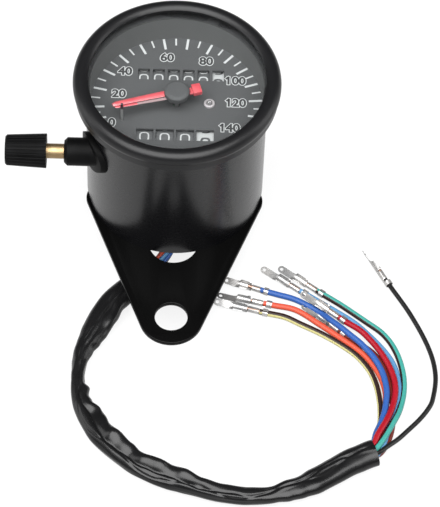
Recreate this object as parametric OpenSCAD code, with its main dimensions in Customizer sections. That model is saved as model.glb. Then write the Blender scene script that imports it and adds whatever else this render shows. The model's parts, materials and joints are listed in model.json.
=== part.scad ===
// Small mechanical motorcycle speedometer with its mounting bracket and wiring harness.
// The origin is the centre of the cable port's end face, +Z runs up the dial's axis,
// the bracket's tongue points to -Y and the trip reset knob to -X.

/* [Case] */
// Outer diameter of the housing can
body_d = 55; // [54.5:0.1:56]
// Sheet thickness of the can
can_wall = 0.8; // [0.6:0.1:1]
// Distance that the cable port and the studs stand below the can
stand_h = 14; // [13.5:0.5:20]
// How far the bezel's rolled bead stands out past the can
bezel_over = 4; // [3.8:0.1:4.5]
// Radius of the bezel's bead
bead_r = 2.6; // [2.4:0.1:2.8]
// Sheet thickness of the bezel
bezel_wall = 0.8; // [0.6:0.1:1]
// Thickness of the glass
glass_t = 2; // [1.5:0.1:2.5]
// Thickness of the rubber ring under the glass
gasket_t = 0.8; // [0.5:0.1:1.2]

/* [Dial] */
// Depth of the dial's face below the can's flange
dial_drop = 8.4; // [7.6:0.1:9]
// Thickness of the dial plate
dial_t = 0.6; // [0.4:0.1:0.8]
// Angle of the needle at rest, clockwise from the top of the dial
rest_deg = -106; // [-112:1:-100]
// Length of the needle from its axis to its tip
needle_len = 20; // [16:0.5:22]
// Height of the needle above the dial's face
needle_gap = 4.5; // [3.5:0.1:5]
// Diameter of the needle's hub cap
hub_d = 7.8; // [6:0.1:9]
// Diameter of the indicator lamp
led_d = 3.4; // [3:0.1:4]

/* [Bracket] */
// Thickness of the bracket plate
plate_t = 1.5; // [1.2:0.1:2]
// Distance from the dial's axis to the bracket's hole
tongue_len = 51.4; // [48:0.1:60]
// Diameter of the bracket's hole
tongue_hole_d = 10; // [8:0.1:11]
// Radius of the tongue's round end
tip_r = 9.85; // [9:0.05:11]
// Radius of the bracket's two rear corners
corner_r = 6.4; // [6:0.1:7]
// Diameter of the hole for the wires
wire_hole_d = 15; // [13.5:0.1:15.5]
// Distance from the dial's axis to the wire hole
wire_hole_y = 23.5; // [23:0.1:24]

/* [Fasteners] */
// Thread diameter of the two studs
stud_d = 5; // [4:0.1:5]
// Distance of the studs' axes from the can's side
stud_edge = 6.3; // [6.1:0.1:6.7]
// Distance of the studs in front of the dial's axis
stud_y = 6.2; // [5.8:0.1:6.6]
// Width of the stud nuts across the flats
nut_af = 8; // [7:0.1:8]
// Height of the stud nuts
nut_h = 4; // [3:0.1:5]
// Diameter of the washers
washer_d = 10; // [9:0.1:10.5]
// Thickness of one washer
washer_t = 1; // [0.8:0.1:1.2]

/* [Cable drive] */
// Thread diameter of the cable port
port_d = 12; // [11.5:0.1:12.5]
// Diameter of the drive shaft
shaft_d = 5; // [4.6:0.1:5.4]
// Length of the thread on the cable port
port_thread = 11.6; // [10:0.1:12]
// Depth of the cable's seat in the port
seat_depth = 6; // [5:0.5:7]
// Diameter of the cable's seat in the port
seat_d = 7.6; // [7:0.1:8.4]
// Width of the square key hole in the drive shaft
key_w = 2.7; // [2.5:0.1:3]
// Radius of the drive magnet
magnet_r = 9.5; // [9:0.1:9.8]

/* [Gears] */
// Pitch of the first worm
pitch_1 = 2; // [1.9:0.05:2.1]
// Pitch of the second worm
pitch_2 = 1.4; // [1.35:0.05:1.45]

/* [Counters] */
// Air between the magnet's rim and the number drums above it
drum_gap = 2.6; // [1.6:0.1:4]
// Radius of the number drums
drum_r = 8; // [7.6:0.1:8]
// Distance of the odometer's axle behind the dial's axis
odo_y = 11; // [10.8:0.1:11.2]
// Distance of the trip counter's axle in front of the dial's axis
trip_y = 12.2; // [12:0.1:12.4]
// Spacing of the odometer's drums
odo_pitch = 4.56; // [4.5:0.02:4.6]
// Spacing of the trip counter's drums
trip_pitch = 6.16; // [6:0.02:6.2]
// Width of a trip drum
trip_w = 5.4; // [4.8:0.1:5.6]

/* [Reset knob] */
// Diameter of the brass stem
stem_d = 4.6; // [4:0.1:5]
// Distance from the dial's axis to the knob's outer end
knob_reach = 51.7; // [50:0.1:56]
// Length of the knob
knob_len = 12.5; // [11:0.1:13]
// Diameter of the knob's outer end
knob_tip_d = 9.4; // [8.6:0.1:10]
// Diameter of the knob's inner end
knob_foot_d = 10.6; // [10:0.1:11.4]
// Number of grooves in the knob
knob_grooves = 28; // [20:1:30]
// Diameter of the boss that the stem comes out of
gland_d = 8.7; // [8:0.1:9.4]
// Distance from the dial's axis to the boss's outer end
gland_reach = 33.8; // [32:0.1:36]

/* [Harness] */
// Diameter of the harness sleeve
sleeve_d = 7; // [6.5:0.1:7.5]
// Diameter of one wire
wire_d = 1.6; // [1.2:0.1:1.6]

/* [Hidden] */

$fn = 64;
// Radial clearance of a running fit, and of pieces pushed together
run = 0.05;
// Air left between pieces that only lie close
air = 0.3;
// Overshoot of a cut past the face that it opens
cut = 1;
// Clearance round a stud in its hole, and round the port in the bracket, across the diameter
loose = 0.3;
port_room = 4;
// Steps in each round corner of the bracket's outline
arc_steps = 24;

// The can and the bezel
can_z = stand_h;
floor_z = can_z + can_wall;
can_r = body_d / 2;
can_ri = can_r - can_wall;
bezel_r = can_r + bezel_over;
bead_x = bezel_r - bead_r;
band_r = bezel_r - 0.6;
band_ri = band_r - bezel_wall;
flange_r = band_ri - 2 * run;
flange_t = can_wall;
lip_r = bead_x - bead_r + 0.6;

// The movement's frame
port_flange_z = floor_z + 0.6;
port_flange_t = 1.8;
base_z = port_flange_z + port_flange_t;
base_t = 1.4;
base_top = base_z + base_t;
base_r = can_ri - 1.1;
side_t = 1;
left_x = -14.6;
right_x = 20.2;
span = right_x + side_t - left_x;
low_y = 17;
high_y = sqrt(base_r * base_r - (right_x + side_t) * (right_x + side_t)) - air;
tab_w = 2.4;
// Tabs bent out under the dial: their length and width, and where they start on each side plate
tab_l = 3;
tab_y = 5;
left_tabs = [-2.5, 8];
right_tabs = [-9, -2.5];
// How far the ends of rods stand out of the plates that carry them
rod_end = 0.4;
stud_x = can_r - stud_edge;

// The gear train: teeth, worm radii, wheel radii, and the shafts that they set apart
cross_teeth = 14;
upright_teeth = 10;
odo_teeth = 10;
worm_1_r = 2.2;
worm_2_r = 1.5;
thread_h = 1.2;
// Radial air past the tips and past the roots of a wheel's teeth
tip_gap = 0.1;
root_gap = 0.2;
wheel_1_r = cross_teeth * pitch_1 / (2 * PI);
wheel_2_r = upright_teeth * pitch_2 / (2 * PI);
cross_y = worm_1_r + wheel_1_r;
cross_z = base_top + wheel_1_r + thread_h / 2 + air;
upright_y = cross_y - worm_2_r - wheel_2_r;
worm_3_r = 2;
wheel_3_r = odo_y - upright_y - worm_3_r;
pitch_3 = 2 * PI * wheel_3_r / odo_teeth;
upright_x = 17.2;
// Share of the pitch that a thread or a tooth fills
tooth_share = 0.27;
worm_turns = 2.5;
// Slices in one turn of a worm, and sides of the cylinders that are one body with it
worm_slices = 14;
worm_sides = 28;
cross_rod_r = 0.8;
upright_rod_r = 0.9;
cross_bearing_x = -7;
cross_wheel_w = 1.6;
upright_wheel_w = 1.2;
odo_wheel_w = 2;

// The magnet and the drag cup
carrier_z = cross_z + wheel_1_r + thread_h / 2 + air;
carrier_t = 1;
magnet_z = carrier_z + carrier_t;
magnet_t = 2.4;
magnet_bore = 3;
rim_t = 0.8;
cup_gap = 0.6;
cup_t = 0.4;
cup_r = magnet_r + cup_gap + cup_t;
field_r = cup_r + cup_gap + rim_t;
cup_top = magnet_z + magnet_t + cup_gap + cup_t;
field_top = cup_top - air;
spring_z = cup_top + air;
spring_h = 0.6;
spring_turns = 4;
spring_t = 0.2;
spring_r0 = 1.5;
spring_step = 1.1;
spindle_r = 0.75;
// How deep the spindle's lower end stands in the end of the drive shaft
pivot_depth = 1;
bridge_z = spring_z + spring_h + air;
bridge_t = 1.2;
bridge_y = 3.2;
bush_r = 1.8;

// Levels from the drums up: what the movement needs sets the height of the dial and of the can
axle_z = field_top + drum_gap + drum_r;
frame_top = axle_z + drum_r + 0.4;
dial_z = frame_top + dial_t;
needle_z = dial_z + needle_gap;
flange_z = dial_z + dial_drop;
can_h = flange_z - can_z;
gasket_z = flange_z;
glass_z = gasket_z + gasket_t;
glass_top = glass_z + glass_t;
crimp_z = flange_z - flange_t - bezel_wall;
bead_z = glass_top - 0.4;

// The needle, its hub and its stop pin, which stands on the needle's anticlockwise side
needle_w0 = 2.9;
needle_w1 = 1.9;
needle_t = 0.9;
hub_h = 2.2;
stop_r = 0.4;
stop_dist = 17.6;
stop_side = needle_w1 / 2 + stop_r + air;
stop_xy = stop_dist * clock(rest_deg) + stop_side * clock(rest_deg - 90);

// The counters
odo_mid_x = 1.1;
odo_count = 6;
odo_body_w = 3.5;
rim_w = 0.6;
rim_r = 6.8;
rim_teeth = 20;
rim_tooth_h = 0.6;
rim_share = 0.2;
odo_axle_r = 1.2;
odo_first_x = odo_mid_x - (odo_count - 1) * odo_pitch / 2;
odo_end_x = odo_first_x + (odo_count - 1) * odo_pitch + odo_body_w / 2;
drum_wall = 1.4;
drum_web = 1;
drum_hub = 1.2;
trip_mid_x = -0.3;
trip_count = 4;
trip_axle_r = 1.5;
pinion_angle = -135;
pinion_r = 1.9;
pinion_teeth = 8;
pinion_w = 0.9;
pinion_dist = rim_r + pinion_r + 0.15;
pinion_rod_r = 0.6;
pinion_y = odo_y + pinion_dist * cos(pinion_angle);
pinion_z = axle_z + pinion_dist * sin(pinion_angle);
// Turns each rim so that a gap between its teeth faces the pinions
rim_turn = 90 + pinion_angle + 180 / rim_teeth;

// The lamps
board_z = dial_z - 3.6;
board_t = 1;
board_x1 = 13;
chip = [1.6, 2.8, 0.8];
chip_x = [-11, -5.5, 4.5];
led_x = 9.9;
led_y = 0.4;

// The stem, which slips over the trip counter's axle, and the hole for the harness
stem_z = axle_z;
knob_in_x = -(knob_reach - knob_len);
knob_bore = 6;
axle_in_stem = 0.8;
stem_end_x = left_x - rod_end;
grommet_y = 21.5;
grommet_r = 4;
grommet_lip = 1;
root_x = -1;
root_r = 2.2;
collar_r = 4;
screw_r = 1.5;
port_flange_r = 10;
// Spigot of the port that centres the movement's base plate
spigot_r = port_d / 2 - 0.25;

// Degrees clockwise from the top of the dial, turned into a direction
function clock(deg) = [sin(deg), cos(deg)];

// Sector of a ring, from its inner to its outer radius, centred on +X
module ring_sector(r0, r1, span, steps) {
    polygon(concat(
        [for (i = [0:steps]) r1 * [cos(span * (i / steps - 0.5)), sin(span * (i / steps - 0.5))]],
        [for (i = [steps:-1:0]) r0 * [cos(span * (i / steps - 0.5)), sin(span * (i / steps - 0.5))]]));
}

// Right-hand thread along Z, centred on the wheel that it turns, which lies towards the angle face
module worm_thread(pitch, radius, face) {
    length = worm_turns * pitch;
    root = 0.4;
    translate([0, 0, -length / 2]) rotate(face + 180 - 180 * worm_turns)
        linear_extrude(height = length, twist = -360 * worm_turns, slices = worm_slices * worm_turns,
        $fn = 8)
        ring_sector(radius - thread_h / 2 - root, radius + thread_h / 2, 360 * tooth_share, 3);
}

// Toothed outline with one tooth on +X
module toothed(teeth, radius, height, share) {
    step = 360 / teeth;
    outer = radius + height / 2;
    inner = radius - height / 2;
    polygon([for (i = [0:teeth - 1], c = [[-0.5, 0], [-0.36, 1], [0.36, 1], [0.5, 0]])
        let (r = c[1] > 0 ? outer : inner, a = step * (i + 2 * share * c[0])) [r * cos(a), r * sin(a)]]);
}

// Worm wheel with a bore, in the plane across its axis
module wheel(teeth, radius, width, bore_r) {
    out = thread_h / 2 - tip_gap;
    in = thread_h / 2 + root_gap;
    difference() {
        linear_extrude(height = width, center = true)
            toothed(teeth, radius + (out - in) / 2, out + in, tooth_share);
        cylinder(r = bore_r + run, h = width + cut, center = true);
    }
}

// Turns a shape that runs along Z so that it runs along +X, with its own +X pointing down
module along_x() {
    multmatrix([[0, 0, 1, 0], [0, 1, 0, 0], [-1, 0, 0, 0], [0, 0, 0, 1]]) children();
}

module cylinder_between(r, z0, z1) {
    translate([0, 0, z0]) cylinder(r = r, h = z1 - z0);
}

// A tube swept along points, a regular polygon across it whose first corner lies towards up, with
// its first face square to the direction start
function unit(v) = v / norm(v);
function heading(p, i, start) = i == 0 ? unit(start) : unit(p[min(i + 1, len(p) - 1)] - p[i - 1]);
function ring_at(c, t, r, sides, up) = let (s = unit(up - (up * t) * t), u = cross(s, t))
    [for (k = [0:sides - 1]) c + r * (cos(360 * k / sides) * s + sin(360 * k / sides) * u)];
module tube(p, r, sides, up, start) {
    n = len(p);
    points = [for (i = [0:n - 1]) each ring_at(p[i], heading(p, i, start), r, sides, up)];
    walls = [for (i = [0:n - 2], k = [0:sides - 1]) let (a = i * sides + k, b = i * sides + (k + 1) % sides)
        each [[a, b, b + sides], [a, b + sides, a + sides]]];
    polyhedron(points, concat(walls,
        [[for (k = [sides - 1:-1:0]) k]], [[for (k = [0:sides - 1]) (n - 1) * sides + k]]));
}

// Routes of the harness on the floor, chosen to follow what is seen
root_route = [[root_x, -grommet_y, 19.6], [root_x, -grommet_y, 10.6], [-1.8, -22.4, 7.9], [-4.4, -25.4, 5.8],
    [-8, -29, 4.8]];
sleeve_route = [[-8, -29, 4.8], [-11.4, -32.4, 4], [-18, -40, 3.8], [-23.5, -51, 3.8], [-27, -63, 3.8],
    [-27.2, -75, 3.8], [-23, -86, 3.8], [-15.5, -95, 3.8], [-5, -101.8, 3.8], [6, -106, 3.8],
    [18, -108.6, 3.8], [30, -108, 3.8], [41, -103.2, 3.8], [51, -96.6, 3.8], [57, -93.6, 3.8],
    [62, -91.8, 3.8]];
black_route = [[62.7, -93.7, 2.8], [66.8, -91.9, 2], [71.2, -88, 1], [76.3, -79.5, 0.9], [80.2, -71, 0.9],
    [81.4, -62, 0.9], [79.8, -52.5, 0.9], [74.5, -40, 1.2], [68, -28.5, 1.2]];
green_route = [[62.7, -93.7, 4.8], [67, -91.4, 4], [69.8, -87.2, 2.8], [70.6, -82, 1.6], [72, -74, 0.9],
    [72.2, -66, 0.9], [69.6, -53.5, 0.9], [61.9, -42.6, 1.2], [47.5, -32.9, 1.2]];
sky_route = [[62.2, -92.3, 1.6], [66, -90.4, 1], [68.4, -86.4, 0.9], [68.9, -81.6, 0.9], [70, -74, 0.9],
    [70.3, -66, 0.9], [67.9, -54.5, 0.9], [57.5, -42.6, 1.2], [41.3, -32.3, 1.2]];
red_route = [[62, -91.8, 3.8], [65.6, -90, 3.3], [67.8, -86, 2.8], [68.2, -81.2, 2.6], [68.9, -74, 2.5],
    [69.2, -66, 2.5], [66.4, -56.2, 2.5], [60.7, -48.2, 2.5], [54.3, -43.4, 2.5]];
blue_route = [[62.2, -92.3, 6], [65.4, -90.3, 5.5], [67, -86, 4.6], [66.4, -80.4, 2.8], [66.3, -73, 2.3],
    [66.2, -66, 2.3], [62.6, -54.4, 0.9], [46, -39.3, 0.9], [38.5, -34.9, 1.2], [32.5, -33, 1.2]];
orange_route = [[61.5, -90.4, 2], [64.8, -88.8, 1.5], [66.2, -85, 0.9], [65.8, -80.3, 0.9], [65.2, -73, 0.9],
    [65, -66, 0.9], [60.6, -55.6, 0.9], [46, -44, 0.9], [38.5, -38.8, 1.2], [31.3, -37.2, 1.2]];
yellow_route = [[61.21, -89.59, 3.8], [63.4, -88.2, 3.2], [64.3, -84.5, 1.8], [63.9, -79.5, 0.9],
    [63.2, -73, 0.9], [63, -66, 0.9], [58.2, -56.8, 0.9], [42, -44, 0.9], [36, -41.3, 1.2],
    [30.1, -40.2, 1.2]];
brown_route = [[61.5, -90.4, 5.6], [64.1, -88.9, 4.9], [65, -85, 3.8], [64.7, -80, 2.8], [64.1, -73, 2.5],
    [64, -66, 2.5], [61.8, -58.4, 2.6], [58.6, -52, 2.6], [54.2, -48.4, 2.6]];
mouth_dir = sleeve_route[15] - sleeve_route[14];
above = [0, 0, 1];

// Shell and cover

module housing_can() {
    color([0.05, 0.05, 0.055]) difference() {
        union() {
            translate([0, 0, can_z]) cylinder(r = can_r, h = can_h);
            translate([0, 0, flange_z - flange_t]) cylinder(r = flange_r, h = flange_t);
        }
        translate([0, 0, floor_z]) cylinder(r = can_ri, h = can_h);
        translate([0, 0, can_z - cut]) cylinder(d = port_d + 2 * run, h = can_wall + 2 * cut);
        for (s = [-1, 1]) translate([s * stud_x, -stud_y, can_z - cut])
            cylinder(d = stud_d + 2 * run, h = can_wall + 2 * cut);
        translate([0, -grommet_y, can_z - cut]) cylinder(r = grommet_r, h = can_wall + 2 * cut);
        translate([-can_r - cut, -trip_y, stem_z]) rotate([0, 90, 0])
            cylinder(d = stem_d + 2 * air, h = can_r);
    }
}

module bezel_ring() {
    color([0.04, 0.04, 0.045]) rotate_extrude($fn = 96) difference() {
        union() {
            translate([bead_x, bead_z]) circle(r = bead_r, $fn = 48);
            translate([lip_r, crimp_z]) square([band_r - lip_r, bead_z - crimp_z]);
        }
        // Hollow of the rolled bead, and the channel that holds the glass, gasket and flange
        intersection() {
            translate([bead_x, bead_z]) circle(r = bead_r - bezel_wall, $fn = 48);
            translate([0, glass_top - run]) square([bezel_r, bead_r]);
        }
        translate([0, crimp_z + bezel_wall]) square([band_ri, glass_top - crimp_z - bezel_wall]);
        translate([0, crimp_z - bead_r]) square([can_r + run, bead_r + bezel_wall + cut]);
        // Inner edge of the lip, and what the bead's circle would leave below the glass
        translate([0, crimp_z - bead_r]) square([lip_r, 3 * bezel_r]);
        translate([band_r, crimp_z - bead_r]) square([bead_r, bead_z - 0.9 - crimp_z + bead_r]);
    }
}

module lens_glass() {
    color([0.75, 0.8, 0.85, 0.4]) translate([0, 0, glass_z]) cylinder(r = flange_r, h = glass_t);
}

module lens_gasket() {
    color([0.12, 0.12, 0.12]) translate([0, 0, gasket_z]) difference() {
        cylinder(r = flange_r, h = gasket_t);
        translate([0, 0, -cut]) cylinder(r = can_ri, h = gasket_t + 2 * cut);
    }
}

// Holds the dial down, from its rim to the glass
module spacer_ring() {
    color([0.3, 0.3, 0.31]) translate([0, 0, dial_z]) difference() {
        cylinder(r = can_ri - run, h = glass_z - dial_z);
        translate([0, 0, -cut]) cylinder(r = can_ri - run - 0.35, h = glass_z - dial_z + 2 * cut);
    }
}

// Dial and needle

module dial_plate() {
    color([0.28, 0.28, 0.29]) translate([0, 0, dial_z - dial_t]) difference() {
        cylinder(r = can_ri - 2 * run, h = dial_t);
        translate([0, 0, -cut]) cylinder(r = spindle_r + air, h = dial_t + 2 * cut);
        translate([led_x, led_y, -cut]) cylinder(d = led_d + 2 * run, h = dial_t + 2 * cut);
        counter_window(odo_mid_x, odo_y, odo_count * odo_pitch - 1);
        counter_window(trip_mid_x, -trip_y, (trip_count - 1) * trip_pitch + trip_w - 0.4);
        translate([stop_xy[0], stop_xy[1], -cut]) cylinder(r = stop_r + run / 2, h = dial_t + 2 * cut);
    }
}

module counter_window(x, y, w) {
    window_h = 4.2;
    translate([x - w / 2, y - window_h / 2, -cut]) cube([w, window_h, dial_t + 2 * cut]);
}

module stop_pin() {
    over = 0.8;
    color([0.1, 0.1, 0.1]) translate([stop_xy[0], stop_xy[1], dial_z - dial_t])
        cylinder(r = stop_r, h = dial_t + needle_gap + needle_t + over);
}

// Points along its own +X before it is turned to its rest
module needle() {
    tail = 8;
    tail_w = 3.8;
    weight_l = 3;
    weight_h = 0.7;
    nose = 1;
    tip_w = 0.8;
    color([0.95, 0.35, 0.38]) translate([0, 0, needle_z]) rotate(90 - rest_deg) difference() {
        union() {
            linear_extrude(height = needle_t) polygon([[0, -needle_w0 / 2],
                [needle_len - nose, -needle_w1 / 2], [needle_len, -tip_w / 2], [needle_len, tip_w / 2],
                [needle_len - nose, needle_w1 / 2], [0, needle_w0 / 2]]);
            translate([-tail, -tail_w / 2, 0]) cube([tail, tail_w, needle_t]);
            translate([-tail, -tail_w / 2, 0]) cube([weight_l, tail_w, needle_t + weight_h]);
        }
        translate([0, 0, -cut]) cylinder(r = spindle_r + run, h = needle_t + 2 * cut);
        translate([0, 0, needle_t / 2]) cylinder(d = hub_d + 2 * run, h = hub_h);
    }
}

module hub_cap() {
    edge = 0.6;
    color([0.3, 0.3, 0.31]) translate([0, 0, needle_z + needle_t / 2]) difference() {
        rotate_extrude() polygon([[0, 0], [hub_d / 2, 0], [hub_d / 2, hub_h - edge],
            [hub_d / 2 - edge, hub_h], [0, hub_h]]);
        translate([0, 0, -cut]) cylinder(r = spindle_r + run, h = hub_h);
    }
}

// Carries the needle and the drag cup, and turns in the bridge and in the drive shaft's end
module needle_spindle() {
    top = needle_z + needle_t / 2 + hub_h - cut - rod_end;
    color([0.75, 0.75, 0.75]) {
        cylinder_between(spindle_r, magnet_z - pivot_depth, top);
        cylinder_between(spring_r0 - spring_t, cup_top + run, spring_z + spring_h);
    }
}

module drag_cup() {
    color([0.82, 0.83, 0.85]) difference() {
        cylinder_between(cup_r, magnet_z + air, cup_top);
        cylinder_between(cup_r - cup_t, magnet_z - cut, cup_top - cup_t);
        cylinder_between(spindle_r + run / 2, magnet_z, cup_top + cut);
    }
}

// Flat spiral from the spindle's collet to the peg on the bridge
function spiral(r, a) = r * [cos(a), sin(a)];
module hairspring() {
    steps = 16;
    n = steps * spring_turns;
    outer = [for (i = [0:n]) spiral(spring_r0 + spring_step * i / steps + spring_t, 360 * i / steps)];
    inner = [for (i = [n:-1:0]) spiral(spring_r0 + spring_step * i / steps, 360 * i / steps)];
    color([0.8, 0.65, 0.35]) translate([0, 0, spring_z]) linear_extrude(height = spring_h)
        polygon(concat(outer, inner));
}

module spindle_bush() {
    under = 0.2;
    head_h = 0.8;
    top = bridge_z + bridge_t;
    color([0.8, 0.6, 0.3]) difference() {
        union() {
            cylinder_between(bush_r - run, bridge_z - under, top);
            cylinder_between(bush_r + head_h, top, top + head_h);
        }
        cylinder_between(spindle_r + run, bridge_z - cut, top + head_h + cut);
    }
}

// Movement's frame

module spindle_bridge() {
    spring_end = spring_r0 + spring_step * spring_turns + spring_t;
    peg_r = 0.6;
    post = 2;
    inner = left_x + side_t;
    color([0.7, 0.68, 0.6]) difference() {
        union() {
            translate([inner, -bridge_y, bridge_z]) cube([right_x - inner, 2 * bridge_y, bridge_t]);
            // Peg for the hairspring's outer end
            translate([spring_end + air / 2 + peg_r, 0, 0])
                cylinder_between(peg_r, spring_z, bridge_z + bridge_t / 2);
            // Posts that carry the lamp board
            for (x = [inner, board_x1 - post])
                translate([x, -bridge_y, bridge_z]) cube([post, post, board_z - bridge_z]);
        }
        cylinder_between(bush_r, bridge_z - cut, bridge_z + bridge_t + cut);
        // Room for the upright shaft
        translate([upright_x, upright_y, bridge_z - cut])
            cylinder(r = upright_rod_r + air, h = bridge_t + 2 * cut);
    }
}

module side_plate(x, y0, y1) {
    translate([x, y0, base_top]) cube([side_t, y1 - y0, frame_top - base_top]);
}

// Base plate, two side plates with bent tabs under the dial, and the bearing tabs
module movement_frame() {
    nut_room = [side_t + 2 * cut, 6.8, 4];
    color([0.72, 0.7, 0.62]) difference() {
        union() {
            cylinder_between(base_r, base_z, base_top);
            side_plate(left_x, -low_y, low_y);
            side_plate(right_x, -high_y, high_y);
            for (y = left_tabs) translate([left_x - tab_l, y, frame_top - side_t])
                cube([tab_l + side_t, tab_y, side_t]);
            for (y = right_tabs) translate([right_x, y, frame_top - side_t])
                cube([tab_l + side_t / 2, tab_y, side_t]);
            // Inner bearing of the cross shaft, and upper bearing of the upright shaft
            translate([cross_bearing_x, cross_y - tab_w, base_top])
                cube([side_t, 2 * tab_w, cross_z + tab_w - base_top]);
            translate([upright_x - tab_w, upright_y - tab_w, board_z])
                cube([right_x - upright_x + tab_w + side_t / 2, 2 * tab_w, side_t]);
        }
        cylinder_between(spigot_r + run, base_z - cut, base_top + cut);
        translate([0, -grommet_y, base_z - cut]) cylinder(r = grommet_r + cut, h = base_t + 2 * cut);
        for (s = [-1, 1]) translate([s * stud_x, -stud_y, base_z - cut])
            cylinder(r = screw_r + run, h = base_t + 2 * cut);
        translate([right_x - cut, -stud_y - nut_room[1] / 2, base_top]) cube(nut_room);
        // Bearings of the shafts and axles
        translate([upright_x, upright_y, 0])
            cylinder_between(upright_rod_r + run, base_z - cut, board_z + 2 * side_t);
        across(cross_y, cross_z, cross_rod_r + run);
        across(odo_y, axle_z, odo_axle_r + run / 2);
        across(-trip_y, axle_z, trip_axle_r + run);
        across(pinion_y, pinion_z, pinion_rod_r + run / 2);
    }
}

// Cylinder along X that reaches past both side plates
module across(y, z, r) {
    translate([left_x - rod_end, y, z]) rotate([0, 90, 0]) cylinder(r = r, h = span + 2 * rod_end);
}

module hex_nut(af, h, bore_r) {
    difference() {
        cylinder(d = af / cos(30), h = h, $fn = 6);
        translate([0, 0, -cut]) cylinder(r = bore_r, h = h + 2 * cut);
    }
}

module frame_nuts() {
    af = 5.5;
    h = 2.4;
    color([0.75, 0.75, 0.72]) for (s = [-1, 1])
        translate([s * stud_x, -stud_y, base_top]) hex_nut(af, h, screw_r + run);
}

// Lamps

module lamp_board() {
    board_w = 6;
    color([0.1, 0.35, 0.2]) translate([0, 0, board_z]) difference() {
        translate([left_x + side_t, -bridge_y, 0]) cube([board_x1 - left_x - side_t, board_w, board_t]);
        translate([0, 0, -cut]) cylinder(r = 2 * spindle_r, h = board_t + 2 * cut);
    }
}

module backlight_leds() {
    color([0.95, 0.95, 0.85]) for (x = chip_x)
        translate([x - chip[0] / 2, -chip[1] / 2, board_z + board_t]) cube(chip);
}

module indicator_led() {
    r = led_d / 2;
    top = dial_z + 0.4;
    color([0.85, 0.9, 0.85]) translate([led_x, led_y, 0]) {
        cylinder_between(r, board_z + board_t, top);
        translate([0, 0, top]) intersection() {
            sphere(r = r);
            cylinder(r = r, h = r);
        }
    }
}

// Cable drive

module cable_port() {
    // Undercut where the thread ends
    relief = 0.5;
    color([0.55, 0.55, 0.56]) difference() {
        union() {
            cylinder(d = port_d, h = port_thread);
            cylinder_between(port_d / 2 - relief, port_thread, can_z - relief);
            cylinder_between(port_d / 2, can_z - relief, port_flange_z);
            cylinder_between(port_flange_r, port_flange_z, base_z);
            cylinder_between(spigot_r, port_flange_z, base_top);
        }
        translate([0, 0, -cut]) cylinder(d = seat_d, h = seat_depth + cut);
        cylinder(d = shaft_d + 2 * run, h = base_top + cut);
    }
}

module port_gasket() {
    color([0.1, 0.1, 0.1]) difference() {
        cylinder_between(port_flange_r, floor_z, port_flange_z);
        cylinder_between(port_d / 2 + run, floor_z - cut, port_flange_z + cut);
    }
}

// Square key hole below, worm in the middle, seat for the magnet and the spindle's pivot on top
module drive_shaft() {
    key_depth = 9;
    color([0.6, 0.6, 0.62]) difference() {
        union() {
            cylinder_between(shaft_d / 2, seat_depth, base_top + air, $fn = 2 * worm_sides);
            cylinder_between(worm_1_r - thread_h / 2, base_top, magnet_z - run, $fn = worm_sides);
            translate([0, 0, cross_z]) worm_thread(pitch_1, worm_1_r, 90);
        }
        translate([-key_w / 2, -key_w / 2, seat_depth - cut]) cube([key_w, key_w, key_depth + cut]);
        cylinder_between(spindle_r + run, magnet_z - pivot_depth - rod_end, magnet_z + cut);
    }
}

// Steel disc with a rim that closes the magnet's field round the drag cup
module magnet_carrier() {
    color([0.5, 0.5, 0.52]) difference() {
        cylinder_between(field_r, carrier_z, field_top);
        cylinder_between(field_r - rim_t, magnet_z, cup_top + cut);
        cylinder_between(worm_1_r - thread_h / 2 + run / 2, carrier_z - cut, magnet_z + cut);
    }
}

module drive_magnet() {
    color([0.25, 0.25, 0.27]) difference() {
        cylinder_between(magnet_r, magnet_z, magnet_z + magnet_t);
        cylinder_between(magnet_bore, magnet_z - cut, magnet_z + magnet_t + cut);
    }
}

// Gear train from the drive shaft to the odometer

module cross_wheel() {
    color([0.9, 0.88, 0.8]) translate([0, cross_y, cross_z]) along_x() rotate(-90)
        wheel(cross_teeth, wheel_1_r, cross_wheel_w, cross_rod_r);
}

module cross_shaft() {
    x0 = cross_bearing_x - rod_end;
    color([0.62, 0.62, 0.64]) translate([0, cross_y, cross_z]) {
        translate([x0, 0, 0]) rotate([0, 90, 0])
            cylinder(r = cross_rod_r, h = right_x + side_t + rod_end - x0, $fn = worm_sides);
        translate([upright_x, 0, 0]) along_x() worm_thread(pitch_2, worm_2_r, -90);
    }
}

module upright_wheel() {
    color([0.9, 0.88, 0.8]) translate([upright_x, upright_y, cross_z]) rotate(90)
        wheel(upright_teeth, wheel_2_r, upright_wheel_w, upright_rod_r);
}

module upright_shaft() {
    half = pitch_3 * worm_turns / 2;
    color([0.62, 0.62, 0.64]) translate([upright_x, upright_y, 0]) {
        cylinder_between(upright_rod_r, base_z + air, board_z + side_t + air, $fn = worm_sides);
        cylinder_between(worm_3_r - thread_h / 2, axle_z - half, axle_z + half, $fn = worm_sides);
        translate([0, 0, axle_z]) worm_thread(pitch_3, worm_3_r, 90);
    }
}

module odometer_wheel() {
    hub_r = 2.6;
    hub_w = upright_x - odo_wheel_w / 2 - odo_end_x;
    color([0.9, 0.88, 0.8]) translate([upright_x, odo_y, axle_z]) {
        along_x() rotate(-90) wheel(odo_teeth, wheel_3_r, odo_wheel_w, odo_axle_r);
        translate([odo_end_x - upright_x, 0, 0]) rotate([0, 90, 0]) difference() {
            cylinder(r = hub_r, h = hub_w);
            translate([0, 0, -cut]) cylinder(r = odo_axle_r + run, h = hub_w + 2 * cut);
        }
    }
}

// Counters

module odometer_axle() {
    color([0.7, 0.7, 0.72]) across(odo_y, axle_z, odo_axle_r);
}

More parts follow.
